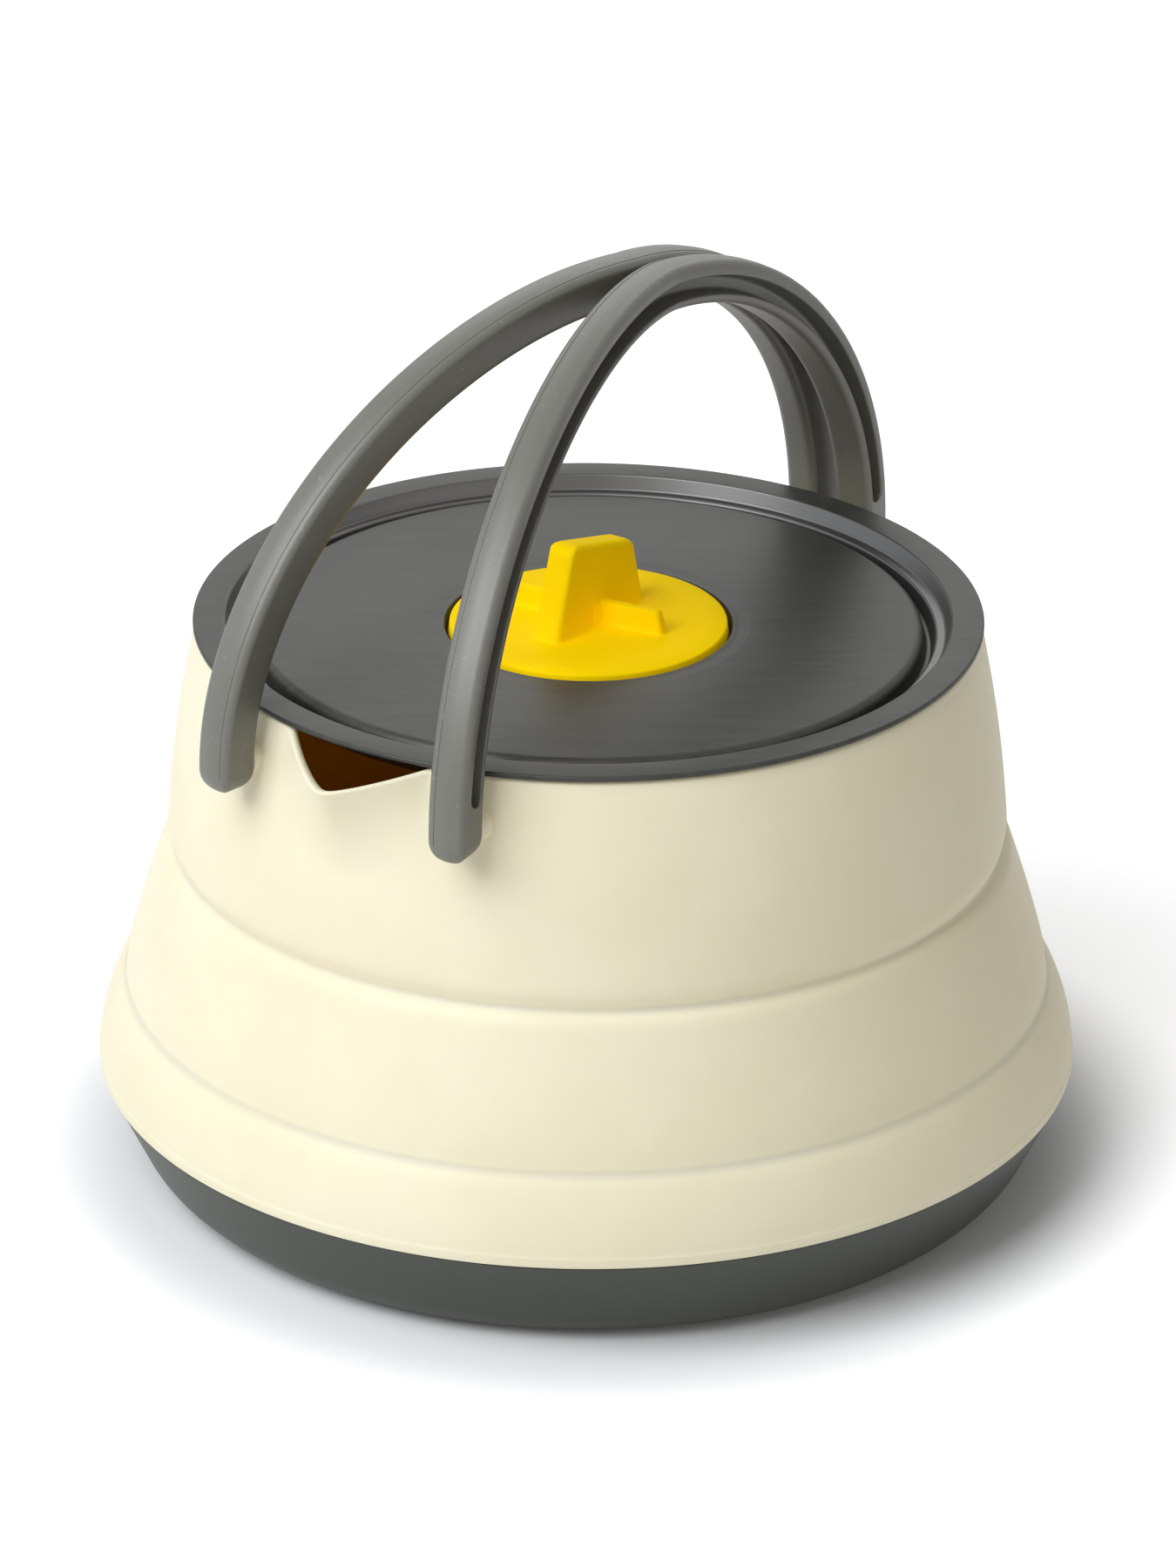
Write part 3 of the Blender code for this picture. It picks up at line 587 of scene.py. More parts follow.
def cut_away(piece, cutters):
    """Cut the shapes of the cutters out of a piece and delete the cutters."""
    for cutter in cutters:
        modifier = piece.modifiers.new(cutter.name, "BOOLEAN")
        modifier.object = cutter
        modifier.solver = "EXACT"
    apply_modifiers(piece)
    for cutter in cutters:
        bpy.data.objects.remove(cutter, do_unlink=True)
    return piece


# Finishes

def cream_silicone():
    """Cream food-grade silicone: matt and faintly clouded, with painted shade in its creases and a
    faint painted glow.
    """
    cream = Finish("cream_silicone", (0.79, 0.73, 0.545), 0.5)
    # The emission is a painted glow: it stands in for light that comes through the silicone and
    # lightens the wall's shaded side.
    cream.set(Subsurface_Weight=0.12, Subsurface_Radius=(0.004, 0.003, 0.0016),
              Subsurface_Scale=1.0, Specular_IOR_Level=0.35,
              Emission_Color=(0.79, 0.70, 0.47, 1.0), Emission_Strength=0.115)
    place = cream.as_moulded()
    _, _, height = cream.split(place)
    cloud = cream.noise(place, scale=38.0, detail=3.0)
    fine = cream.noise(place, scale=2600.0)
    # Painted shade: a grey darkening in a band round each crease and, faintly, along the foot by the
    # pan.
    painted_shade = (1 - height.between(PAN_HEIGHT, PAN_HEIGHT + FOOT_PAINTED_SHADE_REACH)) * 0.06
    for z, reach, amount in ((CREASE_Z + CREASE_PAINTED_SHADE_RISE, CREASE_PAINTED_SHADE_REACH, 0.36),
                             (FOLD_LOW_Z, SOFT_CREASE_PAINTED_SHADE_REACH, 0.34)):
        away = (height - z).math("ABSOLUTE").between(PAINTED_SHADE_START, reach)
        painted_shade = painted_shade + (1 - away) * amount
    tint = cream.mixed(cloud.between(0.35, 0.68), (0.775, 0.712, 0.522), (0.805, 0.75, 0.568))
    tint = cream.mixed(painted_shade * (0.5 + cloud * 0.6), tint, (0.38, 0.39, 0.38))
    cream.set(Base_Color=tint, Roughness=0.44 + cloud * 0.14 + fine * 0.06)
    cream.relief(fine + cloud * 0.8, depth=0.00003, strength=0.5)
    return cream


def warm_silicone():
    """The inside of the wall: warm brown from the light that comes through the silicone, partly its
    subsurface and partly painted into its colour, with painted shade lower down.
    """
    warm = Finish("warm_silicone_inside", (0.55, 0.30, 0.08), 0.5)
    warm.set(Subsurface_Weight=0.4, Subsurface_Radius=(0.007, 0.0052, 0.0022), Subsurface_Scale=1.0)
    place = warm.as_moulded()
    _, _, height = warm.split(place)
    cloud = warm.noise(place, scale=60.0, detail=3.0)
    shade = warm.mixed(cloud.between(0.3, 0.7), (0.52, 0.33, 0.10), (0.64, 0.43, 0.15))
    # Painted shade: the inside is darker towards the bottom.
    deep = 1 - height.between(DEEP_SHADE_Z, DEEP_SHADE_END_Z)
    shade = warm.mixed(deep * 0.6, shade, (0.44, 0.32, 0.16))
    warm.set(Base_Color=shade, Roughness=0.42 + cloud * 0.16)
    warm.relief(warm.noise(place, scale=2200.0), depth=0.00003, strength=0.5)
    return warm


def dark_pan():
    """Hard-anodised aluminium, spun: fine rings in colour, gloss and relief, worn at the heel."""
    pan = Finish("dark_anodised_pan", (0.085, 0.083, 0.076), 0.42, 0.35)
    radius, angle, height = pan.axis_readings()
    rings = pan.noise(pan.join(radius * 3200, height * 3200, angle * 0.6), detail=3.0, roughness=0.6)
    drift = pan.noise(pan.place(), scale=55.0, detail=3.0)
    heel = 1 - height.between(HEEL_WEAR_START, HEEL_WEAR_HEIGHT)
    worn = heel * pan.noise(pan.place(), scale=420.0, detail=4.0, roughness=0.7).between(0.50, 0.72)
    tint = pan.mixed(rings * 0.55 + drift * 0.45, (0.049, 0.052, 0.045), (0.082, 0.087, 0.075))
    tint = pan.mixed(worn * 0.55, tint, (0.30, 0.295, 0.28))
    pan.set(Base_Color=tint, Roughness=0.36 + rings * 0.12 + drift * 0.08 - worn * 0.08)
    pan.relief(rings, depth=0.000012, strength=0.6)
    return pan


def brushed_lid():
    """Dark anodised lid with a fine straight grain, and spun rings down in its channel."""
    lid = Finish("brushed_dark_lid", (0.095, 0.096, 0.086), 0.42, 0.40)
    lid.set(Specular_IOR_Level=0.14)
    place = lid.place()
    along = -LID_GRAIN_TURN
    grain = lid.noise(place, detail=3.0, roughness=0.6, stretch=(150.0, 2400.0, 400.0), turn=along)
    streak = lid.noise(place, stretch=(60.0, 700.0, 100.0), turn=along)
    drift = lid.noise(place, scale=45.0, detail=3.0)
    radius, angle, height = lid.axis_readings()
    inner, outer = LID_CENTRE_RADIUS + SPUN_BAND_INSET, LID_STEP_RADIUS - SPUN_BAND_OUTSET
    spun = radius.between(inner, inner + SPUN_BAND_FADE_IN)
    spun = spun * (1 - radius.between(outer, outer + SPUN_BAND_FADE_OUT))
    rings = lid.noise(lid.join(radius * 2600, height * 2600, angle * 0.5))
    shade = grain * 0.40 + streak * 0.25 + drift * 0.35
    tint = lid.mixed(shade.between(0.28, 0.72), (0.045, 0.046, 0.041), (0.073, 0.074, 0.066))
    tint = lid.mixed(spun, tint, lid.mixed(rings, (0.106, 0.105, 0.102), (0.138, 0.136, 0.133)))
    lid.set(Base_Color=tint, Metallic=0.40 + spun * 0.44,
            Roughness=0.36 + grain * 0.06 + drift * 0.05 - spun * 0.06)
    lid.relief((grain * 0.7 + streak * 0.3) * (1 - spun) + rings * spun, depth=0.000004, strength=0.5)
    return lid


def grey_nylon():
    """Glass-filled grey nylon: a fine speckle, light flecks and a spark-eroded skin."""
    nylon = Finish("grey_glass_filled_nylon", (0.150, 0.143, 0.125), 0.46)
    nylon.set(Specular_IOR_Level=0.75)
    place = nylon.place()
    speck = nylon.noise(place, scale=2300.0, roughness=0.6)
    fleck = nylon.noise(place, scale=950.0).between(0.66, 0.78)
    drift = nylon.noise(place, scale=70.0, detail=3.0)
    tint = nylon.mixed(speck * 0.6 + drift * 0.4, (0.104, 0.103, 0.086), (0.160, 0.158, 0.134))
    tint = nylon.mixed(fleck * 0.35, tint, (0.32, 0.31, 0.28))
    nylon.set(Base_Color=tint, Roughness=0.35 + speck * 0.14 + drift * 0.06)
    nylon.relief(speck + fleck * 0.5, depth=0.000035, strength=0.6)
    return nylon


def yellow_nylon():
    """Bright yellow moulded nylon with a soft satin skin and a faint painted glow that lifts its
    shaded parts.
    """
    yellow = Finish("bright_yellow_nylon", (1.0, 0.68, 0.0), 0.6)
    # The emission is a painted glow that lifts the disc and fin where the fin and bails shade them.
    yellow.set(Subsurface_Weight=0.08, Subsurface_Radius=(0.003, 0.0015, 0.0003),
               Subsurface_Scale=1.0, Specular_IOR_Level=0.04,
               Emission_Color=(1.0, 0.62, 0.0, 1.0), Emission_Strength=0.16)
    place = yellow.place()
    speck = yellow.noise(place, scale=2100.0, roughness=0.6)
    drift = yellow.noise(place, scale=90.0, detail=3.0)
    tint = yellow.mixed(speck * 0.4 + drift * 0.6, (1.0, 0.650, 0.0), (1.0, 0.715, 0.001))
    yellow.set(Base_Color=tint, Roughness=0.54 + speck * 0.12 + drift * 0.06)
    yellow.relief(speck, depth=0.00003, strength=0.5)
    return yellow


def dark_ring_nylon():
    """Dark grey nylon of the ring inside the rim."""
    ring = Finish("dark_grey_nylon", (0.075, 0.073, 0.068), 0.5)
    place = ring.place()
    speck = ring.noise(place, scale=1900.0, roughness=0.6)
    ring.set(Base_Color=ring.mixed(speck, (0.058, 0.057, 0.053), (0.098, 0.095, 0.088)),
             Roughness=0.42 + speck * 0.16)
    ring.relief(speck, depth=0.00003, strength=0.6)
    return ring


def turned_steel():
    """Stainless steel with tool marks and a few rubbed spots."""
    steel = Finish("turned_stainless_steel", (0.58, 0.57, 0.55), 0.28, 1.0)
    place = steel.place()
    marks = steel.noise(place, scale=5200.0, detail=3.0, roughness=0.6)
    rubbed = steel.noise(place, scale=380.0, detail=3.0).between(0.45, 0.7)
    tint = steel.mixed(marks * 0.5 + rubbed * 0.5, (0.46, 0.45, 0.43), (0.68, 0.67, 0.65))
    steel.set(Base_Color=tint, Roughness=0.22 + marks * 0.14 + rubbed * 0.08)
    steel.relief(marks, depth=0.000008, strength=0.6)
    return steel


CREAM = cream_silicone()
WARM = warm_silicone()
PAN = dark_pan()
LID = brushed_lid()
NYLON = grey_nylon()
YELLOW = yellow_nylon()
RING = dark_ring_nylon()
STEEL = turned_steel()


# Silicone wall

def smooth_radius(z):
    """Radius of the wall's outside without its creases."""
    if z > FOLD_HIGH_Z:
        return upper_tier_radius(z)
    if z > FOLD_LOW_Z:
        share = (z - FOLD_LOW_Z) / FOLD_HEIGHT
        return LOWER_TIER_TOP_RADIUS - FOLD_TAPER * share + FOLD_BOW * math.sin(math.pi * share)
    share = max(0.0, (z - BELLY_Z) / (FOLD_LOW_Z - BELLY_Z))
    taper = LOWER_TIER_PROUD + LOWER_TIER_TAPER
    return LOWER_TIER_RADIUS - taper * share ** LOWER_TIER_FULLNESS


def valley(rise, above, below):
    """How deep a crease is at a rise from its bottom: gentle above it and steep below it."""
    return math.exp(-(rise / (above if rise > 0 else below)) ** 2)


def wall_radius(z):
    """Radius of the wall's outside, creases and all."""
    crease = CREASE_DEPTH * valley(z - CREASE_Z, CREASE_ABOVE, CREASE_BELOW)
    soft = SOFT_CREASE_DEPTH * valley(z - FOLD_LOW_Z, SOFT_CREASE_ABOVE, SOFT_CREASE_BELOW)
    return smooth_radius(z) - crease - soft


# Widest and finest step between points up the wall
OUTSIDE_STEPS = (0.0011, 0.0001)
INSIDE_STEPS = (0.0014, 0.0006)


def wall_heights(start, end, widest, finest):
    """Heights up the wall, close together at the creases."""
    heights, z = [], start
    while z < end:
        heights.append(z)
        near = min(abs(z - FOLD_LOW_Z), abs(z - CREASE_Z))
        z += min(widest, max(finest, near * 0.35))
    return heights


def wall_outline():
    """Closed outline of the wall: lip at the foot, outside, round rim, inside."""
    lip = rounded([(LOWER_TIER_RADIUS, PAN_HEIGHT, 0.0),
                   (FOOT_LIP_RADIUS, PAN_HEIGHT, CRISP_ROUND),
                   (FOOT_LIP_RADIUS, FOOT_LIP_TOP_Z, FINE_ROUND),
                   (LOWER_TIER_RADIUS, BELLY_Z, 0.0)], closed=False)
    half = RIM_THICKNESS / 2
    rim_z = RIM_Z - half
    widest, finest = OUTSIDE_STEPS
    outer = [(wall_radius(z), z)
             for z in wall_heights(BELLY_Z + 5 * finest, rim_z - 2 * finest, widest, finest)]
    rim = arc((RIM_RADIUS - half, rim_z), half, 0.0, math.pi, 12)
    neck, neck_z = LOWER_TIER_RADIUS - WALL_THICKNESS, PAN_HEIGHT + WALL_NECK_HEIGHT
    widest, finest = INSIDE_STEPS
    inside = []
    for z in wall_heights(neck_z + widest / 2, rim_z - finest, widest, finest):
        thinned = min(1.0, max(0.0, (z - RIM_Z + RIM_THINNING) / (RIM_THINNING - RIM_THICKNESS)))
        thickness = WALL_THICKNESS + (RIM_THICKNESS - WALL_THICKNESS) * thinned
        inside.append((wall_radius(z) - thickness, z))
    return lip + outer + rim + inside[::-1] + [(neck, neck_z), (neck, PAN_HEIGHT)]


def wall_angles():
    """Angles round the rim, close together at the spout's tip and wider apart behind."""
    tip_step, lip_step, back_steps = math.radians(0.4), math.radians(0.7), 190
    tip = [tip_step * i for i in range(-12, 13)]
    lip = [tip[-1] + lip_step * i for i in range(1, 29)]
    back = 2 * (math.pi - lip[-1])
    rest = [lip[-1] + back * i / back_steps for i in range(1, back_steps)]
    return [-angle for angle in reversed(lip)] + tip + lip + rest


def spout_rule():
    """Pinches the rim outwards and down into a V that fades out down the wall."""
    rule = Rule("spout_pinch", Reach=SPOUT_REACH, Dip=SPOUT_DIP, Half_angle=SPOUT_HALF_ANGLE,
                Softness=SPOUT_SOFTNESS, Ease=0.05, Foot_height=RIM_Z - SPOUT_LENGTH,
                Length=SPOUT_LENGTH, Outside=CREAM.material, Inside=WARM.material)
    half, soft, ease = rule.size("Half_angle"), rule.size("Softness"), rule.size("Ease")
    x, y, z = rule.split(rule.node("GeometryNodeInputPosition"))
    angle = x.math("ARCTAN2", -y)
    radius = (x * x + y * y) ** 0.5
    edge = (angle * angle + soft * soft) ** 0.5 - soft
    span = (half * half + soft * soft) ** 0.5 - soft
    share = 1 - edge / span
    opened = (share + (share * share + ease * ease) ** 0.5) / 2
    rise = ((z - rule.size("Foot_height")) / rule.size("Length")).math("MAXIMUM", 0.0)
    spread = (radius + rule.size("Reach") * opened * rise ** SPOUT_FLARE) / radius
    place = rule.join(x * spread, y * spread, z - rule.size("Dip") * opened * rise)
    moved = rule.node("GeometryNodeSetPosition", None,
                      {"Geometry": Value(rule, rule.entry.outputs[0]), "Position": place})
    inside = rule.node("GeometryNodeInputNamedAttribute", {"data_type": "BOOLEAN"},
                       {"Name": "inside"})
    rule.finish(moved, (rule.size("Outside"), None), (rule.size("Inside"), inside))
    return rule


def keep_moulded_place(piece):
    """Store where each point was when the piece was moulded, for the finish of the wall."""
    moulded = piece.data.attributes.new("moulded", "FLOAT_VECTOR", "POINT")
    moulded.data.foreach_set("vector", [c for v in piece.data.vertices for c in v.co])


def make_wall():
    """The whole silicone wall in one piece, with its spout and four holes for the bosses."""
    outline = wall_outline()
    rings = [[from_spout(angle, r, z) for r, z in outline] for angle in wall_angles()]
    wall = add_piece("silicone_wall", *skin(rings, True), [CREAM, WARM], crease_angle=50.0)
    mark = wall.data.attributes.new("inside", "BOOLEAN", "FACE")
    for face in wall.data.polygons:
        x, y, z = face.center
        inner = math.hypot(x, y) < smooth_radius(z) - RIM_THICKNESS * 0.9
        mark.data[face.index].value = inner and z < RIM_Z - RIM_THICKNESS / 2
    spout_rule().run(wall)
    holes = [rod("boss_hole", BOSS_RADIUS + BOSS_FIT, *boss_span(*corner, HOLE_OVERRUN))
             for corner in CORNERS]
    cut_away(wall, holes)
    keep_moulded_place(wall)
    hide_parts("lower_wall", "fold_wall", "upper_wall")
    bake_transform(wall)


# Pivot lines of the bails

def pivot_point(side, end):
    """Middle of a bail's foot: side is -1 at the left and 1 at the right."""
    if end == "front":
        return Vector((side * PIVOT_FRONT_X, PIVOT_FRONT_Y, PIVOT_Z))
    return Vector((side * PIVOT_REAR_X, PIVOT_REAR_Y, PIVOT_Z))


def outward(side, end):
    """Direction of the pivot line, pointing out of the kettle at this end."""
    line = (pivot_point(side, "front") - pivot_point(side, "rear")).normalized()
    return line if end == "front" else -line


def foot_face(side, end):
    """Where the pivot line meets the foot's face that looks at the wall."""
    return pivot_point(side, end) - outward(side, end) * BAIL_DEPTH / 2


def boss_seat(side, end):
    """Where the pivot line meets the inner end of the boss, inside the ring's band."""
    start = foot_face(side, end)
    direction = outward(side, end)
    plan = Vector((start.x, start.y, 0))
    b = plan.dot(direction)
    c = plan.length_squared - RING_AT_PIVOT ** 2
    return start - direction * (b - math.sqrt(b * b - c) + BOSS_INSET)


def boss_span(side, end, overrun=0.0):
    """Both ends of the boss, or of a bore that runs on past them."""
    direction = outward(side, end)
    return (boss_seat(side, end) - direction * overrun,
            foot_face(side, end) - direction * (GAP - overrun))


def make_ring():
    """Open ring inside the rim with four round bosses through the wall."""
    soft = RING_THICKNESS * 0.45
    outside = [(ring_outer_radius(z), z, fillet)
               for z, fillet in ((RING_LOW_Z, soft), (RING_LOW_Z + RING_HEIGHT / 2, 0.0),
                                 (RING_TOP_Z, soft))]
    inside = [(radius - RING_THICKNESS, z, fillet) for radius, z, fillet in reversed(outside)]
    opening = SPOUT_HALF_ANGLE + RING_SPOUT_CLEARANCE
    steps = 180
    angles = [opening + 2 * (math.pi - opening) * i / steps for i in range(steps + 1)]
    band = turned("ring_band", rounded(outside + inside, steps=4), [RING], angles=angles,
                  closed=False)
    bosses = [rod("ring_boss", BOSS_RADIUS, *boss_span(*corner), [RING], edge=SMALL_ROUND)
              for corner in CORNERS]
    bores = [rod("pin_bore", BOSS_BORE_RADIUS, *boss_span(*corner, BORE_OVERRUN))
             for corner in CORNERS]
    ring = cut_away(joined("stiffening_ring", [band, *bosses]), bores)
    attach(ring, "top")
    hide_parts("rim_ring")


def make_sleeves():
    """Soft silicone sleeves that carry the wall out to the bails' feet."""
    sleeves, steps, bore = [], 8, BOSS_RADIUS + BOSS_FIT
    for side, end in CORNERS:
        direction = outward(side, end)
        face = foot_face(side, end) - direction * GAP
        length = FOOT_STANDOFF[end] - GAP + SLEEVE_BEDDING
        flare = []
        for i in range(steps + 1):
            spread = (SLEEVE_FOOT_RADIUS - SLEEVE_RADIUS) * (1 - i / steps) ** SLEEVE_FLARE
            flare.append((SLEEVE_RADIUS + spread, length * (0.05 + 0.80 * i / steps)))
        end_round = arc((SLEEVE_RADIUS - FINE_ROUND, length - FINE_ROUND), FINE_ROUND,
                        0.0, math.pi / 2, 4)
        outline = [(bore, 0.0)] + flare + end_round + [(bore, length)]
        sleeves.append(turned_about("sleeve", outline, face - direction * length, face, [CREAM]))
    sleeves = joined("pivot_sleeves", sleeves)
    keep_moulded_place(sleeves)
    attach(sleeves, "top")


# Pan

def make_pan():
    """Spun pan: flat bottom, round heel, flared side and a beaded neck inside the wall."""
    side_run = PAN_HEIGHT * math.tan(PAN_FLARE)
    corner = PAN_RADIUS - side_run
    heel_tangent = PAN_HEEL_RADIUS * math.tan((math.pi / 2 - PAN_FLARE) / 2)
    heel = (corner - heel_tangent, PAN_HEEL_RADIUS)
    neck = LOWER_TIER_RADIUS - WALL_THICKNESS - GAP
    neck_top = PAN_HEIGHT + PAN_NECK_HEIGHT
    outer = arc(heel, PAN_HEEL_RADIUS, -math.pi / 2, -PAN_FLARE, 16)
    inner = arc(heel, PAN_HEEL_RADIUS - PAN_THICKNESS, -PAN_FLARE, -math.pi / 2, 16)
    bead_low = neck_top - PAN_NECK_HEIGHT / 2
    edge_z = PAN_HEIGHT - GAP
    edge = [(PAN_RADIUS, edge_z, SOFT_ROUND),
            (neck - PAN_NECK_BEAD, edge_z, FINE_ROUND),
            (neck - PAN_NECK_BEAD, bead_low, FINE_ROUND),
            (neck, bead_low + PAN_NECK_BEAD, FINE_ROUND),
            (neck, neck_top, SMALL_ROUND),
            (neck - PAN_THICKNESS, neck_top, SMALL_ROUND),
            (neck - PAN_NECK_BEAD - PAN_THICKNESS, edge_z - PAN_THICKNESS, BROAD_ROUND)]
    steps = 12
    under = [(heel[0] * i / steps, 0.0) for i in range(steps)]
    floor = [(heel[0] * (steps - i) / steps, PAN_THICKNESS) for i in range(1, steps + 1)]
    corners = [(*p, 0.0) for p in under + outer] + edge + [(*p, 0.0) for p in inner + floor]
    pan = turned("spun_pan", rounded(corners, closed=False, steps=4), [PAN], steps=224)
    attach(pan, "base")
    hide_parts("base_pan")


# Bails

def bail_x(y):
    """How far a bail stands from the middle: close to its twin on top, splayed at the feet."""
    if y < BAIL_MEET_FRONT_Y:
        share = (BAIL_MEET_FRONT_Y - y) / (BAIL_MEET_FRONT_Y - PIVOT_FRONT_Y)
        return BAIL_MEET_X + (PIVOT_FRONT_X - BAIL_MEET_X) * share ** BAIL_SPLAY_POWER
    if y > BAIL_MEET_REAR_Y:
        share = (y - BAIL_MEET_REAR_Y) / (PIVOT_REAR_Y - BAIL_MEET_REAR_Y)
        return BAIL_MEET_X + (PIVOT_REAR_X - BAIL_MEET_X) * share ** BAIL_SPLAY_POWER
    return BAIL_MEET_X


def arch_point(turn):
    """A point (y, z) of the arch, from the front pivot at 0 to the rear one at half a turn."""
    across, up = abs(math.cos(turn)), max(0.0, math.sin(turn))
    if turn < math.pi / 2:
        y = BAIL_CROWN_Y - (BAIL_CROWN_Y - PIVOT_FRONT_Y) * across ** (2 / BAIL_FRONT_FULLNESS)
        return y, PIVOT_Z + BAIL_RISE * up ** (2 / BAIL_FRONT_FULLNESS)
    y = BAIL_CROWN_Y + (PIVOT_REAR_Y - BAIL_CROWN_Y) * across ** (2 / BAIL_REAR_FULLNESS)
    return y, PIVOT_Z + BAIL_RISE * up ** (2 / BAIL_REAR_FULLNESS)


def bail_spots(total):
    """Distances along the arch, close together where the groove begins and ends."""
    leg, close_step, ease, wide_step = [0.0, 0.0012, 0.0024, 0.0032], 0.00012, 0.0006, 0.0011
    near = leg + [GROOVE_START - ease + close_step * i for i in range(24)]
    first = near[-1] + ease
    span = total - 2 * first
    steps = round(span / wide_step)
    far = [first + span * i / steps for i in range(steps + 1)]
    return near + far + [total - spot for spot in reversed(near)]


def bail_stations():
    """Points (y, z) along the bail, foot to foot, with the size of its section there."""
    foot_steps, foot_tip, fine_steps = 14, 0.30, 4000
    foot = []
    for i in range(foot_steps):
        turn = math.pi / 2 * (i + foot_tip) / foot_steps
        foot.append((-BAIL_FOOT_LENGTH * math.cos(turn), math.sin(turn)))
    front = [(PIVOT_FRONT_Y, PIVOT_Z + drop, size) for drop, size in foot]
    rear = [(PIVOT_REAR_Y, PIVOT_Z + drop, size) for drop, size in reversed(foot)]
    fine = [arch_point(math.pi * i / fine_steps) for i in range(fine_steps + 1)]
    lengths = [0.0]
    for a, b in zip(fine, fine[1:]):
        lengths.append(lengths[-1] + math.dist(a, b))
    arch, k = [], 0
    for spot in bail_spots(lengths[-1]):
        while k < fine_steps - 1 and lengths[k + 1] < spot:
            k += 1
        share = (spot - lengths[k]) / (lengths[k + 1] - lengths[k])
        y, z = (a + (b - a) * share for a, b in zip(fine[k], fine[k + 1]))
        arch.append((y, z, 1.0))
    return front + arch + rear


def groove_shares(rise):
    """Width and depth of the groove at a height above the pivot: a slot with round ends."""
    closed_width = 0.04
    into = (rise - GROOVE_START) / (GROOVE_WIDTH / 2)
    if into <= 0:
        return closed_width, 0.0
    width = math.sqrt(max(0.0, 1 - (1 - min(1.0, into)) ** 2))
    return max(closed_width, width), min(1.0, into / 0.10)


def section_corner(x_sign, y_sign, half, deep, radius):
    """Quarter round at a corner of the section, in the order in which the section runs."""
    middle = math.atan2(y_sign, x_sign)
    return arc((x_sign * (half - radius), y_sign * (deep - radius)), radius,
               middle + math.pi / 4, middle - math.pi / 4, 6)


def groove_line(half, size, width_share, depth_share):
    """Over the outer lip into the groove and out over the inner lip, or a flat if it is closed."""
    middle, groove = -GROOVE_OFFSET * size, GROOVE_WIDTH / 2 * width_share * size
    if depth_share <= 0:
        return [(half, middle + groove * (1 - 2 * i / 19)) for i in range(20)]
    floor = half - GROOVE_DEPTH * depth_share
    lip, bed = (radius * depth_share * width_share for radius in (GROOVE_LIP, GROOVE_BED))
    wall = min(groove * 0.8, groove - GROOVE_DRAFT)
    quarter = math.pi / 2
    line = arc((half - lip, middle + groove + lip), lip, 0.0, -quarter, 4)
    line += arc((floor + bed, middle + wall - bed), bed, quarter, 2 * quarter, 4)
    line += arc((floor + bed, middle - wall + bed), bed, 2 * quarter, 3 * quarter, 4)
    return line + arc((half - lip, middle - groove - lip), lip, quarter, 0.0, 4)


def bail_section(size, width_share, depth_share):
    """Rounded section, (sideways, outwards of the arch), with the groove in its outer side face."""
    half, deep = BAIL_WIDTH / 2 * size, BAIL_DEPTH / 2 * (0.2 + 0.8 * size)
    corner, crown, steps = BAIL_CORNER * size, BAIL_CROWNING * size, 8
    flat = half - corner
    top = [(flat * (2 * i / steps - 1), deep + crown * math.sin(math.pi * i / steps))
           for i in range(1, steps)]
    low = [(flat * (1 - i / 2), -deep) for i in (1, 2, 3)]
    size_of = (half, deep, corner)
    return (section_corner(-1, 1, *size_of) + top + section_corner(1, 1, *size_of)
            + groove_line(half, size, width_share, depth_share)
            + section_corner(1, -1, *size_of) + low + section_corner(-1, -1, *size_of))


def bail_frames(side):
    """Centre, sideways and outwards direction and sizes at every station."""
    stations = bail_stations()
    centres = [Vector((side * bail_x(y), y, z)) for y, z, _ in stations]
    across_pivots = outward(side, "rear").cross(Vector((0, 0, side)))
    frames = []
    for i, (_, z, size) in enumerate(stations):
        before, after = centres[max(i - 1, 0)], centres[min(i + 1, len(centres) - 1)]
        forward = (after - before).normalized()
        sideways = (across_pivots - forward * across_pivots.dot(forward)).normalized()
        out = sideways.cross(forward) * side
        frames.append((centres[i], sideways, out, size, z - PIVOT_Z))
    return frames


def parting_rule():
    """A thin moulding line along a path."""
    rule = Rule("parting_line", Bead_radius=PARTING_LINE_RADIUS, Bead_sides=8, Coat=NYLON.material)
    path = rule.node("GeometryNodeMeshToCurve", None, {0: Value(rule, rule.entry.outputs[0])})
    bead = rule.node("GeometryNodeCurvePrimitiveCircle", None,
                     {"Resolution": rule.size("Bead_sides"), "Radius": rule.size("Bead_radius")})
    line = rule.node("GeometryNodeCurveToMesh", None,
                     {"Curve": path, "Profile Curve": bead, "Fill Caps": True})
    rule.finish(line, (rule.size("Coat"), None))
    return rule


def make_bail(side, name, body, node, parting):
    """One bail with its groove and pivot bores, and the moulding line along its inner edge."""
    frames = bail_frames(side)
    sections = [[centre + sideways * a + out * b
                 for a, b in bail_section(size, *groove_shares(rise))]
                for centre, sideways, out, size, rise in frames]
    bail = add_piece(name, *skin(sections, False, capped=True), [NYLON])
    bores = [rod("foot_bore", PIN_BORE_RADIUS,
                 foot_face(side, end) - outward(side, end) * HOLE_OVERRUN,
                 foot_face(side, end) + outward(side, end) * PIN_ENGAGEMENT)
             for end in ("front", "rear")]
    cut_away(bail, bores)
    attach(bail, body)
    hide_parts(node)
    across, up = BAIL_WIDTH / 2 - BAIL_CORNER, BAIL_DEPTH / 2 + PARTING_LINE_LIFT
    path = [centre - sideways * across + out * up
            for centre, sideways, out, size, rise in frames if size > 0.99]
    line = add_piece(name + "_parting_line", path, [], [NYLON], recalculate=False,
                     edges=[(i, i + 1) for i in range(len(path) - 1)])
    parting.run(line)
    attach(line, body)


# Lid

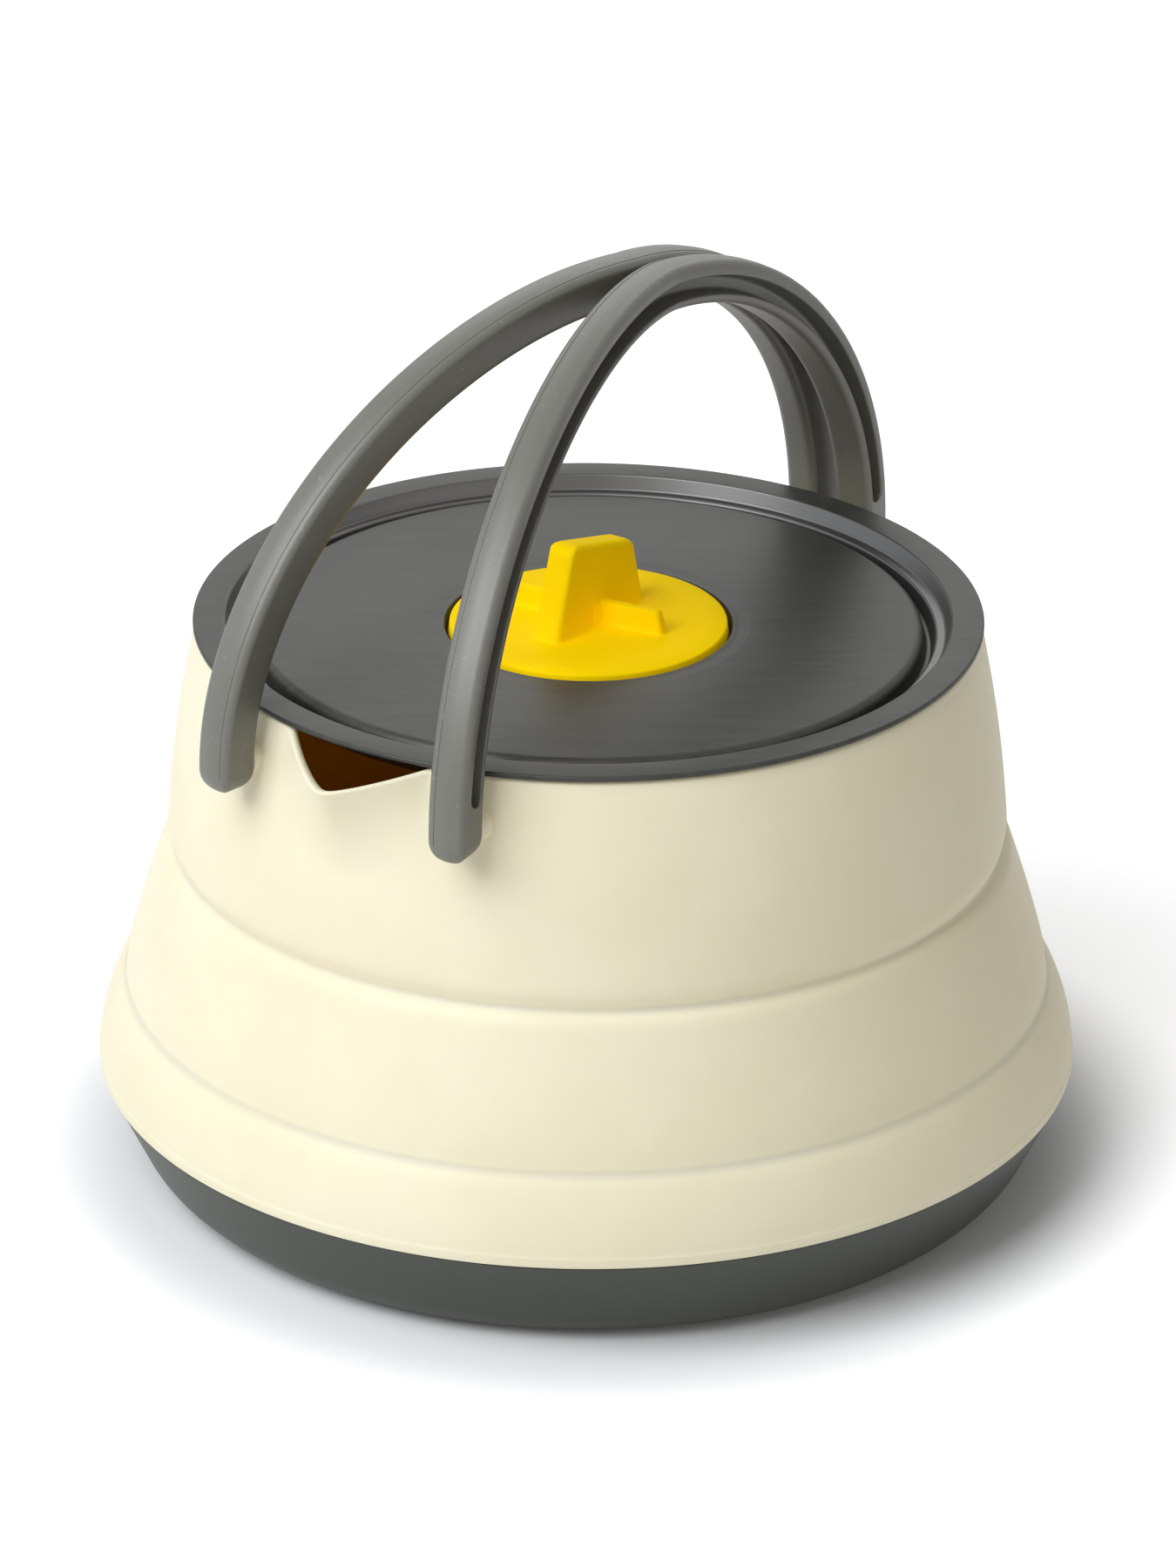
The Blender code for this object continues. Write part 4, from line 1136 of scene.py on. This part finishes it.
def make_lid():
    """Pressed lid: flat flange, stepped ledge, channel, raised centre and the knob's seat."""
    hole, recess = KNOB_BOSS_RADIUS + GAP, KNOB_RADIUS + GAP
    step, edge = LID_STEP_RADIUS, LID_CENTRE_RADIUS
    ledge_out = step - LID_SLOPE_RUN
    ledge_in = ledge_out - LID_LEDGE_WIDTH
    channel = ledge_in - LID_WALL_RUN
    dish = recess + LID_DISH_REACH
    top_z, centre_z, seat_z = LID_TOP_Z, LID_CENTRE_Z, LID_SEAT_Z
    ledge_z, channel_z = top_z - LID_LEDGE_DROP, top_z - LID_CHANNEL_DROP
    top = [(LID_RADIUS, top_z, LID_EDGE_ROUND),
           (step, top_z, BEND_ROUND),
           (ledge_out, ledge_z, SMALL_ROUND),
           (ledge_in, ledge_z, BEND_ROUND),
           (channel, channel_z, BEND_ROUND),
           (edge + LID_CENTRE_LEAN, channel_z, SMALL_ROUND),
           (edge, centre_z, LID_SHOULDER),
           (dish, centre_z, LID_DISH_ROUND),
           (dish - LID_DISH_WIDTH, centre_z - LID_DISH_DEPTH, BROAD_ROUND),
           (recess + LID_RECESS_LEAN, centre_z - LID_DISH_DEPTH / 2, CRISP_ROUND),
           (recess, seat_z, SMALL_ROUND),
           (hole, seat_z, CRISP_ROUND)]
    slope = LID_SLOPE_THICKNESS
    under = [(hole, seat_z, CRISP_ROUND),
             (recess + slope / 2, seat_z, SMALL_ROUND),
             (recess + slope, centre_z, SMALL_ROUND),
             (edge - slope, centre_z, BROAD_ROUND),
             (edge - slope / 2, channel_z, SMALL_ROUND * 2),
             (channel + slope, channel_z, SOFT_ROUND),
             (ledge_in + slope, ledge_z, SOFT_ROUND),
             (ledge_out + slope, ledge_z, SMALL_ROUND),
             (step + slope, top_z, SOFT_ROUND),
             (LID_RADIUS, top_z, FINE_ROUND)]
    under = [(radius, z - LID_THICKNESS, fillet) for radius, z, fillet in under]
    lid = turned("pressed_lid", rounded(top + under), [LID], steps=256)
    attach(lid, "lid")
    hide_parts("lid_plate")


def round_oblong(half_length, half_width, corner):
    """Points round an oblong with rounded corners, extra ones near its ends."""
    corner = min(corner, half_width * 0.98, half_length * 0.98)
    near_end = 0.0028
    side = [half_length - corner - near_end * i / 4 for i in (1, 2, 3, 4)]
    side += [-y for y in reversed(side)]
    quarters = [arc((x * (half_width - corner), y * (half_length - corner)), corner,
                    math.radians(start), math.radians(start + 90.0), 6)
                for x, y, start in ((1, 1, 0.0), (-1, 1, 90.0), (-1, -1, 180.0), (1, -1, 270.0))]
    left = [(-half_width, y) for y in side]
    right = [(half_width, -y) for y in side]
    return quarters[0] + quarters[1] + left + quarters[2] + quarters[3] + right


def upstand(name, foot, top, heights, end_rounds, side_round, plan_corner, shifts=(0.0, 0.0),
            widening=0.0, turn_by=0.0):
    """A wall standing on the knob's disc: filleted foot, leaning ends and rounded top edges.

    foot and top are (half length, half width), shifts how far each stands back from the middle;
    heights and end_rounds are those of its front and rear end.
    """
    (front, rear), (front_round, rear_round) = heights, end_rounds
    turned_place = Matrix.Rotation(turn_by, 3, "Z")
    rings = []

    def ring(share_up, rounding, foot_out, height_of):
        long_half, wide_half = (low + (high - low) * share_up for low, high in zip(foot, top))
        inset, side_inset = (front_round + rear_round) / 2 * rounding, side_round * rounding
        shift = (front_round - rear_round) / 2 * rounding
        lean = shifts[0] + (shifts[1] - shifts[0]) * share_up
        line = round_oblong(long_half - inset + foot_out, wide_half - side_inset + foot_out,
                            plan_corner + foot_out - side_inset * 0.6)
        points = []
        for x, y in line:
            past = abs(y) - long_half + inset + END_ROUND_REACH
            end_share = min(1.0, max(0.0, past / END_ROUND_REACH))
            end_round = front_round if y < 0 else rear_round
            soft = side_round + (end_round - side_round) * end_share ** 2
            y += shift + lean
            along_share = min(1.0, max(0.0, (y - shifts[1] + top[0]) / (2 * top[0])))
            full = front + (rear - front) * along_share
            x *= 1 + widening * y / foot[0]
            points.append(turned_place @ Vector((x, y, KNOB_TOP_Z + height_of(full, soft))))
        rings.append(points)

    fillet = KNOB_FILLET
    foot_steps, side_steps, top_steps = 6, 9, 7
    for i in range(foot_steps + 1):
        turn = math.pi / 2 * i / foot_steps
        up = fillet * (1 - math.cos(turn)) if i else -KNOB_SINK
        ring(0.0, 0.0, fillet * (1 - math.sin(turn)), lambda full, soft: up)
    for i in range(1, side_steps):
        share = i / side_steps
        ring(share, 0.0, 0.0, lambda full, soft: fillet + (full - soft - fillet) * share)
    for i in range(top_steps + 1):
        turn = math.pi / 2 * i / top_steps
        ring(1.0, 1 - math.cos(turn), 0.0, lambda full, soft: full - soft * (1 - math.sin(turn)))
    return add_piece(name, *skin(rings, False, capped=True), [YELLOW], crease_angle=60.0)


def knob_web(side, end):
    """Hollow corner between the fin and a cross wall."""
    turn = Matrix.Rotation(CROSS_WALL_TURN, 3, "Z")
    fin_face, wall_face = FIN_WIDTH / 2 - WEB_SINK, CROSS_WALL_WIDTH / 2 - WEB_SINK
    in_fin, in_wall = fin_face - WEB_ROOT_IN_FIN, wall_face - WEB_ROOT_IN_WALL
    hollow = arc((fin_face + WEB_RADIUS, wall_face + WEB_RADIUS), WEB_RADIUS,
                 math.pi, 1.5 * math.pi, 8)
    outline = [(in_fin, in_wall), (in_fin, wall_face + WEB_RADIUS), *hollow,
               (fin_face + WEB_RADIUS, in_wall)]
    heights = (KNOB_TOP_Z - WEB_SINK, KNOB_TOP_Z + CROSS_WALL_HEIGHT - WEB_TOP_DROP)
    rings = [[turn @ Vector((side * x, end * y, z)) for x, y in outline] for z in heights]
    return add_piece("knob_web", *skin(rings, False, capped=True), [YELLOW])


def make_knob():
    """Round disc with one tall fin and two low cross walls."""
    boss_end = LID_SEAT_Z - LID_THICKNESS
    flat = [(KNOB_RADIUS * i / 10, KNOB_TOP_Z, 0.0) for i in range(9)]
    rim = [(KNOB_RADIUS - KNOB_DOME_WIDTH, KNOB_TOP_Z, KNOB_DOME_ROUND),
           (KNOB_RADIUS - KNOB_DRAFT, KNOB_TOP_Z - KNOB_DOMING, SMALL_ROUND),
           (KNOB_RADIUS, KNOB_UNDER_Z, FINE_ROUND),
           (KNOB_BOSS_RADIUS, KNOB_UNDER_Z, CRISP_ROUND),
           (KNOB_BOSS_RADIUS, boss_end, CRISP_ROUND),
           (0.0, boss_end, 0.0)]
    disc = turned("knob_disc", rounded(flat + rim, closed=False), [YELLOW])
    fin = upstand("knob_fin", (FIN_LENGTH / 2, FIN_WIDTH / 2), (FIN_TOP_LENGTH / 2, FIN_TOP_WIDTH / 2),
                  (FIN_FRONT_HEIGHT, FIN_REAR_HEIGHT), (FIN_FRONT_CORNER, FIN_REAR_CORNER),
                  FIN_SIDE_ROUND, FIN_PLAN_CORNER, (FIN_SHIFT, FIN_TOP_SHIFT), FIN_WIDENING)
    cross = upstand("knob_cross_wall", (CROSS_WALL_REACH, CROSS_WALL_WIDTH / 2),
                    (CROSS_WALL_REACH - CROSS_WALL_WIDTH / 4, CROSS_WALL_WIDTH / 2 - KNOB_DRAFT),
                    (CROSS_WALL_HEIGHT, CROSS_WALL_HEIGHT), (CROSS_WALL_END_ROUND,) * 2,
                    SOFT_ROUND, CROSS_WALL_PLAN_CORNER, turn_by=CROSS_WALL_TURN - math.pi / 2)
    webs = [knob_web(side, end) for side in (-1, 1) for end in (-1, 1)]
    knob = joined("finned_knob", [disc, fin, cross, *webs])
    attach(knob, "lid")
    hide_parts("lid_knob")


def dress_hardware():
    """Steel for the pins and the knob's fixing, which keep their CAD shape."""
    for name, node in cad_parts.items():
        if name.startswith("pivot_pin") or name in ("knob_backing", "knob_screw"):
            node.data.materials.clear()
            node.data.materials.append(STEEL.material)


# Stage, light and camera

FLOOR_HALF = 6.0
FLOOR_GLOW = 0.58
GLOW_START_RADIUS = 0.074
GLOW_FULL_RADIUS = 0.108
ROOM_LIGHT = 0.18
WHITE = (1.0, 1.0, 1.0)
LIGHT_AIM = Vector((0, 0, 0.05))
CAMERA_AZIMUTH = math.radians(35.0)
CAMERA_ELEVATION = math.radians(24.75)
CAMERA_ROLL = math.radians(0.325)
CAMERA_DISTANCE = 1.1908
CAMERA_LOWERED = 0.0278
CAMERA_TO_THE_RIGHT = 0.000064
CAMERA_LENS = 169.0
CAMERA_SENSOR = 36.0


def make_stage():
    """Pale floor that shows white to the camera and keeps the kettle's shadow, with a painted shadow
    round its foot.
    """
    floor = add_piece("stage_floor", [Vector((x * FLOOR_HALF, y * FLOOR_HALF, 0.0))
                                      for x, y in ((-1, -1), (1, -1), (1, 1), (-1, 1))],
                      [(0, 1, 2, 3)], [], recalculate=False)
    paper = Finish("pale_floor", (0.86, 0.86, 0.86), 0.9)
    paper.set(Specular_IOR_Level=0.0)
    radius, _, _ = paper.axis_readings()
    # Painted shadow: the glow fades out towards the kettle, which leaves a dark ring round its foot on
    # top of the real shadow.
    away = radius.between(GLOW_START_RADIUS, GLOW_FULL_RADIUS)
    glow = paper.node("ShaderNodeEmission", None,
                      {"Color": paper.mixed(away, (0.06, 0.06, 0.06), WHITE),
                       "Strength": paper.seen() * FLOOR_GLOW})
    both = paper.node("ShaderNodeAddShader", None,
                      {0: Value(paper, paper.shader.outputs[0]), 1: glow})
    paper.feed(paper.nodes.nodes["Material Output"].inputs["Surface"], both)
    floor.data.materials.append(paper.material)


def soft_box(name, place, power, width, height, colour=WHITE):
    """A rectangular lamp that points at the kettle."""
    lamp = bpy.data.lights.new(name, "AREA")
    lamp.shape, lamp.size, lamp.size_y = "RECTANGLE", width, height
    lamp.energy, lamp.color = power, colour
    holder = bpy.data.objects.new(name, lamp)
    holder.location = place
    holder.rotation_euler = (LIGHT_AIM - Vector(place)).to_track_quat("-Z", "Y").to_euler()
    bpy.context.scene.collection.objects.link(holder)


def make_light():
    """A dim white room, a large soft box over the front and three weak ones round the kettle."""
    world = bpy.data.worlds.new("studio")
    bpy.context.scene.world = world
    world.use_nodes = True
    room = Tree()
    room.nodes = world.node_tree
    background = room.nodes.nodes["Background"]
    room.feed(background.inputs["Color"], (*WHITE, 1.0))
    room.feed(background.inputs["Strength"], ROOM_LIGHT + room.seen() * (1 - ROOM_LIGHT))
    soft_box("key_light", (-0.18, -0.85, 0.98), 15.4, 0.9, 0.9, (0.95, 0.975, 1.0))
    soft_box("fill_light", (0.9, -0.3, 0.25), 0.65, 0.9, 0.9, (1.0, 0.96, 0.82))
    soft_box("left_light", (-0.82, -0.34, 0.34), 0.72, 1.0, 0.32, (0.72, 0.87, 1.0))
    soft_box("rear_light", (-0.55, 0.75, 0.75), 1.8, 0.8, 0.8)


def make_camera():
    """Camera at the photograph's angle, to the right of the spout and above it."""
    across, up_share = math.cos(CAMERA_ELEVATION), math.sin(CAMERA_ELEVATION)
    right = Vector((math.cos(CAMERA_AZIMUTH), math.sin(CAMERA_AZIMUTH), 0))
    forward = Vector((-right.y * across, right.x * across, -up_share))
    up = right.cross(forward)
    place = (Vector((0, 0, LID_TOP_Z)) + right * CAMERA_TO_THE_RIGHT - up * CAMERA_LOWERED
             - forward * CAMERA_DISTANCE)
    x_axis = right * math.cos(CAMERA_ROLL) + up * math.sin(CAMERA_ROLL)
    y_axis = up * math.cos(CAMERA_ROLL) - right * math.sin(CAMERA_ROLL)
    lens = bpy.data.cameras.new("camera")
    lens.lens, lens.sensor_width, lens.sensor_fit = CAMERA_LENS, CAMERA_SENSOR, "AUTO"
    camera = bpy.data.objects.new("camera", lens)
    turn = Matrix((x_axis, y_axis, -forward)).transposed()
    camera.matrix_world = Matrix.Translation(place) @ turn.to_4x4()
    bpy.context.scene.collection.objects.link(camera)
    bpy.context.scene.camera = camera


make_camera()
make_light()
make_stage()
make_pan()
make_wall()
make_ring()
make_sleeves()
parting = parting_rule()
make_bail(-1, "left_bail", "bail_left", "handle_left", parting)
make_bail(1, "right_bail", "bail_right", "handle_right", parting)
make_lid()
make_knob()
dress_hardware()

bpy.context.scene.view_settings.view_transform = "Standard"
